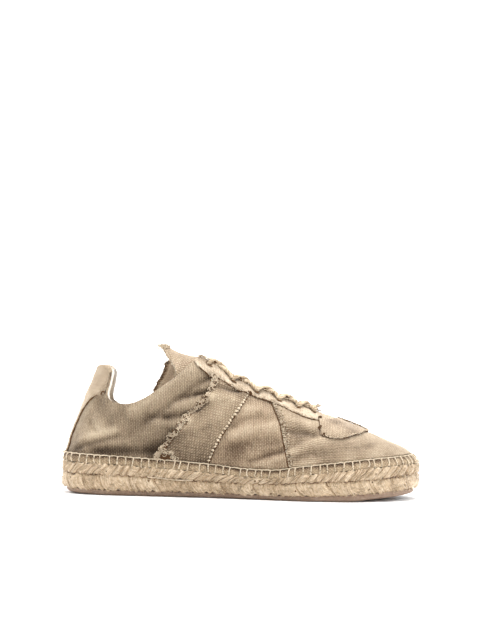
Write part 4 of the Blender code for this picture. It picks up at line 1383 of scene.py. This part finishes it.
def lace_run(first, second, start_side, height):
    """Points of one run of lace: out of an eyelet, over the throat and down into the next one."""
    out = LAID + OVERLAY + LACE_RADIUS * 0.85
    ends = []
    for angle, side, over in ((first, start_side, 0.22), (second, -start_side, 0.78)):
        crossing = first + (second - first) * over
        hole = eyelet_point(angle, side, -0.6)
        rim = eyelet_point(angle, side, out - 0.9) * 0.75 + offset_rib(crossing, side, 1.0, out) * 0.25
        edge = offset_rib(crossing, side, 1.0, out + 0.2)
        ends.append((hole, rim, edge))
    (hole, rim, edge), (far_hole, far_rim, far_edge) = ends
    middle = (edge + far_edge) / 2 + (0, 0, height)
    coarse = np.array([hole, rim, edge, middle, far_edge, far_rim, far_hole])
    return curve_through(coarse, 40)


def curve_through(points, count):
    """Points along a smooth curve that passes through a few given ones."""
    knots = added_up(np.sqrt(np.linalg.norm(np.diff(points, axis=0), axis=1)))
    at = np.linspace(0.0, knots[-1], count)
    padded = np.concatenate([[2 * points[0] - points[1]], points, [2 * points[-1] - points[-2]]])
    i = np.clip(np.searchsorted(knots, at, side="right") - 1, 0, len(points) - 2)
    u = ((at - knots[i]) / (knots[i + 1] - knots[i]))[:, None]
    p0, p1, p2, p3 = (padded[i + k] for k in range(4))
    bend = 2 * p0 - 5 * p1 + 4 * p2 - p3
    return 0.5 * (2 * p1 + (p2 - p0) * u + bend * u**2 + (3 * p1 - p0 - 3 * p2 + p3) * u**3)


def add_laces():
    """Crossed runs between neighbouring eyelets and one straight run in front, each going down into its
    eyelets.
    """
    runs = [lace_run(EYELET_ANGLES[-1], EYELET_ANGLES[-1], LATERAL, 0.6)]
    for upper_angle, lower_angle in zip(EYELET_ANGLES, EYELET_ANGLES[1:]):
        runs.append(lace_run(lower_angle, upper_angle, LATERAL, -0.7))
        runs.append(lace_run(lower_angle, upper_angle, MEDIAL, 1.7))
    parts = []
    for number, run in enumerate(runs):
        share = evenly(len(run))
        swell = 0.98 + 0.09 * ripple(run, 6.0, 151 + number) + 0.05 * ripple(run, 2.6, 170 + number)
        radius = LACE_RADIUS * swell * np.clip(0.75 + 2.5 * np.minimum(share, 1 - share), 0, 1)
        tone = 0.05 + 0.12 * ripple(run, 5.0, 190 + number)[:, None]
        parts.append(tube_part(run, radius, 14, tone, flat=0.78))
    add_mesh("cotton_laces", parts, LACE, "lace")
    return runs


# Frayed threads


def steps_along(points):
    """Distance along a line of points, and its direction at each."""
    return distances(points), unit(np.gradient(points, axis=0), TINY)


def raw_edge(points, away, out, spacing, length, curl, seed, lift):
    """Short threads that hang off an edge. away and out are its directions, one for all points or
    one at each; the threads start along the edge `spacing` apart and curl by a share of their
    length."""
    random = np.random.default_rng(seed)
    steps, along = steps_along(points)
    away, out = np.broadcast_to(away, points.shape), np.broadcast_to(out, points.shape)
    paths = []
    for at in np.sort(random.uniform(0, steps[-1], max(2, int(steps[-1] / spacing)))):
        i = min(int(np.searchsorted(steps, at)), len(points) - 1)
        reach = length * random.uniform(0.35, 1.15)
        way = away[i] + along[i] * random.normal(0, 0.5) + out[i] * random.uniform(0.0, lift)
        way /= np.linalg.norm(way)
        share = evenly(5)[:, None]
        bend = random.normal(0, curl, 3) * reach
        path = points[i] - away[i] * 0.6 + way * reach * share + bend * share**2
        path = path + out[i] * (0.2 + 0.5 * reach * random.uniform(0, lift) * np.sin(math.pi * share))
        path = path + along[i] * random.normal(0, curl * 0.5) * reach * np.sin(2 * math.pi * share)
        paths.append(path)
    return paths


def curls(points, across, out, width, spacing, size, seed, clump=0.0):
    """Curled threads scattered over a strip beside an edge; width is the strip's two sides. Most
    of them gather in clumps that lie this far apart, where that isn't zero."""
    random = np.random.default_rng(seed)
    steps, along = steps_along(points)
    across, out = np.broadcast_to(across, points.shape), np.broadcast_to(out, points.shape)
    paths = []
    for at in random.uniform(0, steps[-1], max(2, int(steps[-1] / spacing))):
        if clump and random.random() < 0.75:
            at = np.clip((round(at / clump) + random.normal(0, 0.16)) * clump, 0, steps[-1])
        i = min(int(np.searchsorted(steps, at)), len(points) - 1)
        start = points[i] + across[i] * random.uniform(*width) + out[i] * random.uniform(-0.1, 0.5)
        share = evenly(7)[:, None]
        turn = random.uniform(0, 2 * math.pi) + share * random.uniform(1.5, 4.6) * random.choice((-1, 1))
        reach = size * random.uniform(0.4, 1.1)
        path = start + reach * (np.cos(turn) * along[i] + np.sin(turn) * across[i])
        paths.append(path + out[i] * reach * random.uniform(0.2, 0.6) * np.sin(math.pi * share))
    return paths


def seam_frame(angles, side, v, out, way):
    """Points of a seam with the directions along the face, away from the seam, and outwards."""
    points = draped(angles, side, v, out)[0]
    normal = face_normal(angles, side, v)
    across = np.cross(steps_along(points)[1], normal)
    ahead = (across[:, 0].sum() > 0) * 2 - 1
    return points, across * ahead * way, normal


def panel_seam(seam, side, off, way):
    shares = np.linspace(0.01, 0.99, 90)
    angles = seam_angles(seam, side, shares)
    return seam_frame(angles, side, shares * panel_top(angles, side), off, way)


def edge_seam(side, which, low, high, off):
    """An edge that runs along the foot: of the eyestay or of the toe overlay."""
    angles = np.linspace(low, high, 120)
    v = np.interp(angles, EDGE_ANGLES, which[side])
    down = unit(rib(angles, side, np.maximum(v - 0.03, 0)) - rib(angles, side, v))
    return draped(angles, side, v, off)[0], down, face_normal(angles, side, np.minimum(v, 0.97))


def moved(seam, away, out):
    """The seam, its line moved away from the edge and outwards."""
    points, across, normal = seam
    return points + across * away + normal * out, across, normal


def crest_line(first, last, out):
    """The line where the vamp turns over the top as seen from the lateral side, between two x."""
    angles = np.linspace(120.0, 180.0, 121)
    heights = np.linspace(0.6, 1.0, 81)[:, None]
    face = offset_rib(angles, LATERAL, heights, out).reshape(-1, 3)
    line = []
    for x in np.linspace(first, last, 24):
        near = face[np.abs(face[:, 0] - x) < 0.8]
        line.append(near[np.argmax(near[:, 2])])
    return np.array(line)


TOP = LAID + 1.0  # outer face of an overlay above the upper
# Places seen from the side: knots of dark thread on the edges, which stand for painted shade in small holes
# there, and the tuft
KNOTS = ((148.7, 80.1), (204.6, 61.8), (203.8, 54.7), (206.6, 49.6))
TUFT = (83.8, 31.5)


def spot(x, z, side):
    """Rib angle and share of its height where the face is seen at x and z from the side."""
    angles = np.linspace(2.0, 178.0, 353)
    heights = evenly(121)
    face = rib(angles, side, heights[:, None])
    far = (face[..., 0] - x) ** 2 + (face[..., 2] - z) ** 2
    row, column = np.unravel_index(np.argmin(far), far.shape)
    return angles[column], heights[row]


def seen_point(x, z, side, out):
    angle, v = spot(x, z, side)
    return offset_rib(angle, side, v, out)


def side_frays(side, light, dark, bold):
    """Frayed edges of one side's overlays and of the throat. The dark threads in it stand for painted
    shadow in the gaps and under the raw edges.
    """
    seed = 200 + 30 * (side + 1)
    rear = panel_seam(BAND_REAR, side, TOP + 0.1, -1)
    front = panel_seam(BAND_FRONT, side, TOP - 0.1, 1)
    vamp = panel_seam(VAMP_REAR, side, TOP + 0.1, 1)
    stay = edge_seam(side, EYESTAY_LOW, THROAT_TOP + 0.5, EYESTAY_END, TOP + 0.5)
    toe = edge_seam(side, TOE_LOW, 115.6, 166.0, TOP + OVERLAY)
    # the band's rear edge: a strip of curled ends over a dark gap of painted shadow, and its front edge
    bold += curls(*rear, (-1.6, 3.4), 0.5, 1.6, seed, 3.6)
    light += raw_edge(*rear, 1.0, 2.6, 0.4, seed + 1, 0.6)
    dark += curls(*rear, (-1.2, 3.4), 0.7, 1.2, seed + 2, 4.1)
    light += raw_edge(*front, 1.0, 1.4, 0.3, seed + 3, 0.5)
    # the vamp's rear edge: loose weft that lies forward over the panel, with dark curls of painted shade
    # among it
    light += raw_edge(*moved(vamp, 0.5, 0.0), 0.8, 3.4, 0.12, seed + 5, 0.1)
    light += curls(*vamp, (0.8, 5.0), 0.75, 0.75, seed + 6)
    dark += curls(*vamp, (0.6, 4.6), 1.6, 0.6, seed + 7)
    # the lower edges of the eyestay and of the toe overlay, with dark threads of painted shadow under them
    light += raw_edge(*stay, 1.0, 1.4, 0.3, seed + 8, 0.4)
    light += curls(stay[0], -stay[1], stay[2], (0.4, 3.4), 0.8, 0.8, seed + 9)
    dark += raw_edge(*moved(stay, 0.0, -0.5), 0.9, 1.5, 0.3, seed + 10, 0.2)
    light += raw_edge(*toe, 0.9, 1.5, 0.3, seed + 11, 0.4)
    light += curls(*toe, (-1.4, 0.6), 0.8, 0.8, seed + 12)
    dark += raw_edge(*moved(toe, 0.0, -0.7), 1.3, 1.3, 0.3, seed + 13, 0.2)
    # the edges beside the laces, with dark curls along them and a dark knot between the runs, all painted
    # shade
    angles = np.linspace(THROAT_TOP, 117.0, 110)
    points = draped(angles, side, 1.0, TOP + 0.6)[0]
    normal = face_normal(angles, side, np.full(110, 0.97))
    light += raw_edge(points, (0.0, -side, 0.0), normal, 0.4, 2.4, 0.35, seed + 14, 0.8)
    light += curls(points, (0.0, side, 0.0), normal, (0.0, 3.5), 0.6, 0.9, seed + 15)
    dark += curls(points, (0.0, side, 0.0), normal, (0.4, 3.5), 1.6, 0.8, seed + 16)
    for angle in np.arange(86.0, 116.0, 3.0):
        place = draped(angle + np.linspace(-0.3, 0.3, 4), side, 1.0, TOP + 1.3)[0]
        strip = (-0.6, 0.8)
        dark += curls(place, (0, 0, 1), (0, side, 0.6), strip, 0.2, 0.8, seed + 40 + int(angle))
    if side == LATERAL:
        for number, (x, z) in enumerate(KNOTS):
            angle, v = spot(x, z, side)
            place = draped(angle + np.linspace(-0.4, 0.4, 5), side, v, TOP + OVERLAY + 0.2)[0]
            out = face_normal(angle, side, v)
            dark += curls(place, (0, 0, 1), out, (-0.9, 0.9), 0.12, 0.9, seed + 17 + number)


def add_frays(tongue, runs):
    light, dark, bold = [], [], []
    for side in SIDES:
        side_frays(side, light, dark, bold)
    for number, run in enumerate(runs):
        light += curls(run[7:-7], (1, 0, 0), (0, -0.4, 0.9), (-1.7, 1.7), 0.7, 0.9, 500 + number)
    crest = crest_line(222.0, 248.0, LAID + OVERLAY + 1.2)
    for way in (-1.0, 1.0):
        aside = np.array((0.0, way, -0.2))
        light += raw_edge(crest + aside * 0.9, aside, (0, 0, 1), 0.5, 1.8, 0.4, 310 + int(way), 0.3)
    front = runs[0][8:-8] + (1.5, 0, 0.8)
    light += raw_edge(front, (1, 0, 0), (0, -0.3, 0.9), 0.9, 5.0, 0.3, 520, 0.3)
    # the tongue's end, and its raised tip
    end = tongue[-1]
    back = unit(end - tongue[-4])
    face = (0.5, 0.0, 0.85)
    light += raw_edge(end, back, face, 0.5, 1.3, 0.3, 301, 0.3)
    tip = slice(22, 33)
    light += raw_edge(end[tip] - back[tip] * 0.6, back[tip], face, 0.16, 2.8, 0.6, 302, 0.4)
    middle = end[24:31] - back[24:31] * 0.9
    for way, seed in ((-1.0, 303), (1.0, 304)):
        bold += raw_edge(middle, (way, -0.2, 0.15), face, 0.3, 4.0, 0.4, seed, 0.3)
    bold += curls(end[tip], (-1.0, 0.0, 0.2), face, (0.0, 4.6), 0.2, 1.2, 305)
    add_threads("frayed_threads", light, LIGHT_THREAD, FRAY, 4, 0.5)
    add_threads("bold_threads", bold, BOLD_THREAD, FRAY, 5, 0.5)
    add_threads("shadowed_threads", dark, DARK_THREAD, PAINTED_SHADOW_THREAD, 4, 0.5)


def add_seam_shadows():
    """Painted shadow: dark tubes in the gaps beside the overlays' edges, along the heel strip's seam, in
    the slots by the laces and along the crest.
    """
    parts = []
    for side in SIDES:
        lines = (
            (panel_seam(BAND_REAR, side, TOP - 0.5, -1), 0.7, 1.5, 0.5),
            (panel_seam(BAND_FRONT, side, 0.85, 1), 0.55, 0.5, 0.2),
            (panel_seam(VAMP_REAR, side, 0.85, -1), 0.6, 0.52, 0.15),
            (edge_seam(side, EYESTAY_LOW, THROAT_TOP - 1.0, EYESTAY_END - 1.0, TOP + 0.1), 0.4, 0.44, 0.3),
            (edge_seam(side, TOE_LOW, 115.6, 165.0, TOP + 0.3), 0.4, 0.2, 0.16),
            (toe_rear_edge(side), 0.3, 0.25, 0.2),
        )
        for line, shift, radius, uneven in lines:
            path, _, normal = moved(line, shift, 0.0)
            width = radius * (1 + uneven / radius * np.clip(ripple(path, 5.0, 171), -1, 1))
            parts.append(tube_part(path, width, 6, 0.0, normal, 0.6))
        shares = np.linspace(0.02, 0.7, 80)
        path = draped(strip_half_width(shares) + 0.3, side, shares, 0.5)[0]
        across = [seen_point(x, 80.5, side, 1.4) for x in (32.5, 34.5, 36.5, 38.5)]
        path = np.concatenate([path, across])
        parts.append(tube_part(path, 0.5 + 0.22 * np.clip(ripple(path, 6.0, 172), -1, 1), 6))
        for angle in EYELET_ANGLES:
            v = 1 - share_for_length(angle, side, EYELET_EDGE + 2.6)
            path = offset_rib(angle + np.linspace(-0.8, 0.8, 5), side, v, LAID + 1.6)
            width = np.array((0.2, 0.8, 0.95, 0.8, 0.2))
            parts.append(tube_part(path, width, 6, 0.1, face_normal(angle, side, v), 0.5))
    crest = crest_line(222.0, 247.0, LAID + OVERLAY + 1.5)
    parts.append(tube_part(crest, 0.7 * np.sin(np.linspace(0.2, 2.95, len(crest))) ** 0.6, 6))
    add_mesh("painted_seam_shadows", parts, PAINTED_SHADOW_THREAD)


def toe_rear_edge(side):
    """The toe overlay's rear edge, from the eyestay down."""
    share = np.linspace(0.1, 1.0, 24)
    low = np.interp(TOE_REAR, EDGE_ANGLES, TOE_LOW[side])
    v = low + (panel_top(TOE_REAR, side) - low) * share
    return seam_frame(np.full(24, TOE_REAR), side, v, TOP + 0.4, -1)


def add_seam_threads():
    """Beads of thread along the bands' front seams, a loose loop and a curled tuft on the lateral
    side."""
    random = np.random.default_rng(181)
    parts = []
    for side in SIDES:
        points, ahead, normal = panel_seam(BAND_FRONT, side, TOP + 0.1, 1)
        steps, along = steps_along(points)
        at = 1.5
        while at < steps[-1] - 1:
            i = int(np.searchsorted(steps, at))
            share = np.linspace(-1.0, 1.0, 5)[:, None]
            way = ahead[i] * 0.8 + along[i] * random.uniform(-0.6, 0.8)
            size = random.uniform(0.8, 1.2) + 0.3 * math.sin(math.pi * min(1.0, at / steps[-1]))
            path = points[i] - ahead[i] * random.uniform(0.1, 0.7) + way * share * size
            path = path + normal[i] * (0.4 - 0.4 * share**2)
            parts.append(tube_part(path, np.array([0.3, 0.62, 0.72, 0.62, 0.3]) * size, 6))
            at += random.uniform(2.1, 3.3)
    add_mesh("seam_beads", parts, STITCH)
    points, ahead, normal = panel_seam(BAND_REAR, LATERAL, TOP + 0.6, -1)
    top = points[-20:-2]
    sway = np.sin(np.linspace(0.0, math.pi, len(top)))[:, None]
    loops = [top + ahead[-20:-2] * 2.6 * sway + normal[-20:-2] * 0.8]
    loops.append(top[3:] - ahead[-17:-2] * 2.0 * sway[3:] + normal[-17:-2] * 0.8)
    angle, v = spot(*TUFT, LATERAL)
    centre = offset_rib(angle, LATERAL, v, TOP)
    out = face_normal(angle, LATERAL, v)
    shaded = []
    for k in range(TUFT_COUNT):
        turn = random.uniform(0, 2 * math.pi) + np.linspace(0.0, random.uniform(1.5, 5.0), 8)[:, None]
        bearing = random.uniform(-0.5, math.pi + 0.5)
        inner = k % 3 == 0
        reach = random.uniform(0.0, 0.6) if inner else random.normal(1.0, 0.16)
        place = centre + (7.0 * reach * math.cos(bearing), 0.0, 4.6 * reach * math.sin(bearing) - 1.0)
        size = random.uniform(0.5, 1.7)
        ring = np.cos(turn) * (1.0, 0.0, 0.0) + np.sin(turn) * (0.0, 0.0, 1.0)
        path = place + out * random.uniform(-0.3, 0.5 if inner else 1.4) + ring * size
        (shaded if inner else loops).append(path)
    add_threads("loose_threads", loops, 0.23, FRAY, 5, 0.5)
    add_threads("tuft_shadow", shaded, 0.34, PAINTED_SHADOW_THREAD, 5, 0.5)


def add_jute_hairs():
    """Loose fibres that stand off the plait, and the thread that shows between its courses."""
    random = np.random.default_rng(401)
    paths = []
    for _ in range(HAIR_COUNT):
        distance = np.array([random.uniform(0, EDGE)])
        q = random.uniform(0.02, 0.98)
        low, high = ("groove", "rand") if random.random() < 0.5 else ("jute", "groove")
        start = edge_point(distance, 0.9)[0]
        out = (start - edge_point(distance, 6.0)[0]) / 5.1
        z = (1 - q) * side_height(low, start[0]) + q * side_height(high, start[0])
        along = np.array([-out[1], out[0]]) * random.choice((-1.0, 1.0))
        length = random.uniform(2.0, 6.5)
        share = evenly(5)[:, None]
        rise = random.uniform(-1.0, 1.0)
        lift = random.uniform(0.6, 1.7)
        stand = lift * np.sin(math.pi * share * random.uniform(0.6, 1.0)) + 0.2
        xy = start + along * length * share * math.cos(rise) + out * stand
        z = np.maximum(z + length * math.sin(rise) * share * 0.8, side_height("floor", start[0]) + 0.6)
        paths.append(np.hstack([xy, z]))
    add_threads("jute_hairs", paths, HAIR_RADIUS, HAIR, 3, 0.3)
    distance = np.linspace(88.0, 124.0, 60)
    xy = edge_point(distance, 0.3 + 0.25 * np.sin(distance / 3.1))
    run = np.column_stack([xy, side_height("groove", xy[:, 0]) + 0.4 * np.sin(distance / 6.3)])
    add_threads("course_threads", [run], 0.5, STITCH, 6, 0.5)


def add_stage():
    """A pale floor that curves up behind the shoe."""
    front, back, bend, rise, wide = -3.0, 2.2, 1.2, 5.0, 6.0
    turn = np.linspace(0.0, math.pi / 2, 24)
    profile = [(front, 0.0)]
    profile += [(back + bend * math.sin(t), bend * (1 - math.cos(t))) for t in turn]
    profile.append((back + bend, rise))
    verts = [(x, y, z) for y, z in profile for x in (-wide, wide)]
    faces = [(2 * i, 2 * i + 1, 2 * i + 3, 2 * i + 2) for i in range(len(profile) - 1)]
    data = bpy.data.meshes.new("floor")
    data.from_pydata(verts, [], faces)
    data.shade_smooth()
    floor = linked("floor", data)
    paper = Finish("floor_paper", roughness=0.9, specular=0.1)
    grit = paper.noise(paper.place(), 30.0, 2.0)
    paper.finish(paper.ramp(grit, (0.0, (246, 246, 246)), (1.0, (250, 250, 250))), grit, 0.01, 0.1)
    data.materials.append(paper.made)


def add_view():
    """World light, lamps and the camera, which looks square at the lateral side from low down."""
    scene = bpy.context.scene
    scene.world = bpy.data.worlds.new("studio")
    scene.world.use_nodes = True
    background = scene.world.node_tree.nodes["Background"]
    background.inputs["Color"].default_value = (1.0, 1.0, 1.0, 1.0)
    background.inputs["Strength"].default_value = WORLD_STRENGTH
    for name, (place, target, size, power, colour) in LAMPS.items():
        data = bpy.data.lights.new(name, "AREA")
        data.shape = "DISK"
        data.size = size
        data.energy = power
        data.color = colour
        lamp = linked(name, data)
        lamp.location = place
        way = Vector(target) - Vector(place)
        lamp.rotation_euler = way.to_track_quat("-Z", "Y").to_euler()
    view = bpy.data.cameras.new("camera")
    view.lens = CAMERA_LENS
    view.sensor_width = 36.0
    view.clip_end = 20.0
    camera = linked("camera", view)
    camera.location = CAMERA_PLACE
    tilt = Matrix.Rotation(math.radians(CAMERA_TILT), 3, "X")
    camera.rotation_euler = (tilt @ Matrix.Rotation(math.radians(CAMERA_ROLL), 3, "Z")).to_euler()
    scene.camera = camera
    scene.view_settings.view_transform = "Standard"


add_view()
add_stage()
add_outsole()
add_jute()
add_rand()
add_blanket_stitch()
add_insole()
add_upper()
add_heel_strip()
add_tab_trim()
for add_panel in (add_band, add_mid_panel):
    add_panel(LATERAL, "lateral")
    add_panel(MEDIAL, "medial")
add_vamp()
add_toe_overlay()
add_eyestay()
TONGUE = add_tongue()
RUNS = add_laces()
add_frays(TONGUE, RUNS)
add_seam_shadows()
add_seam_threads()
add_jute_hairs()
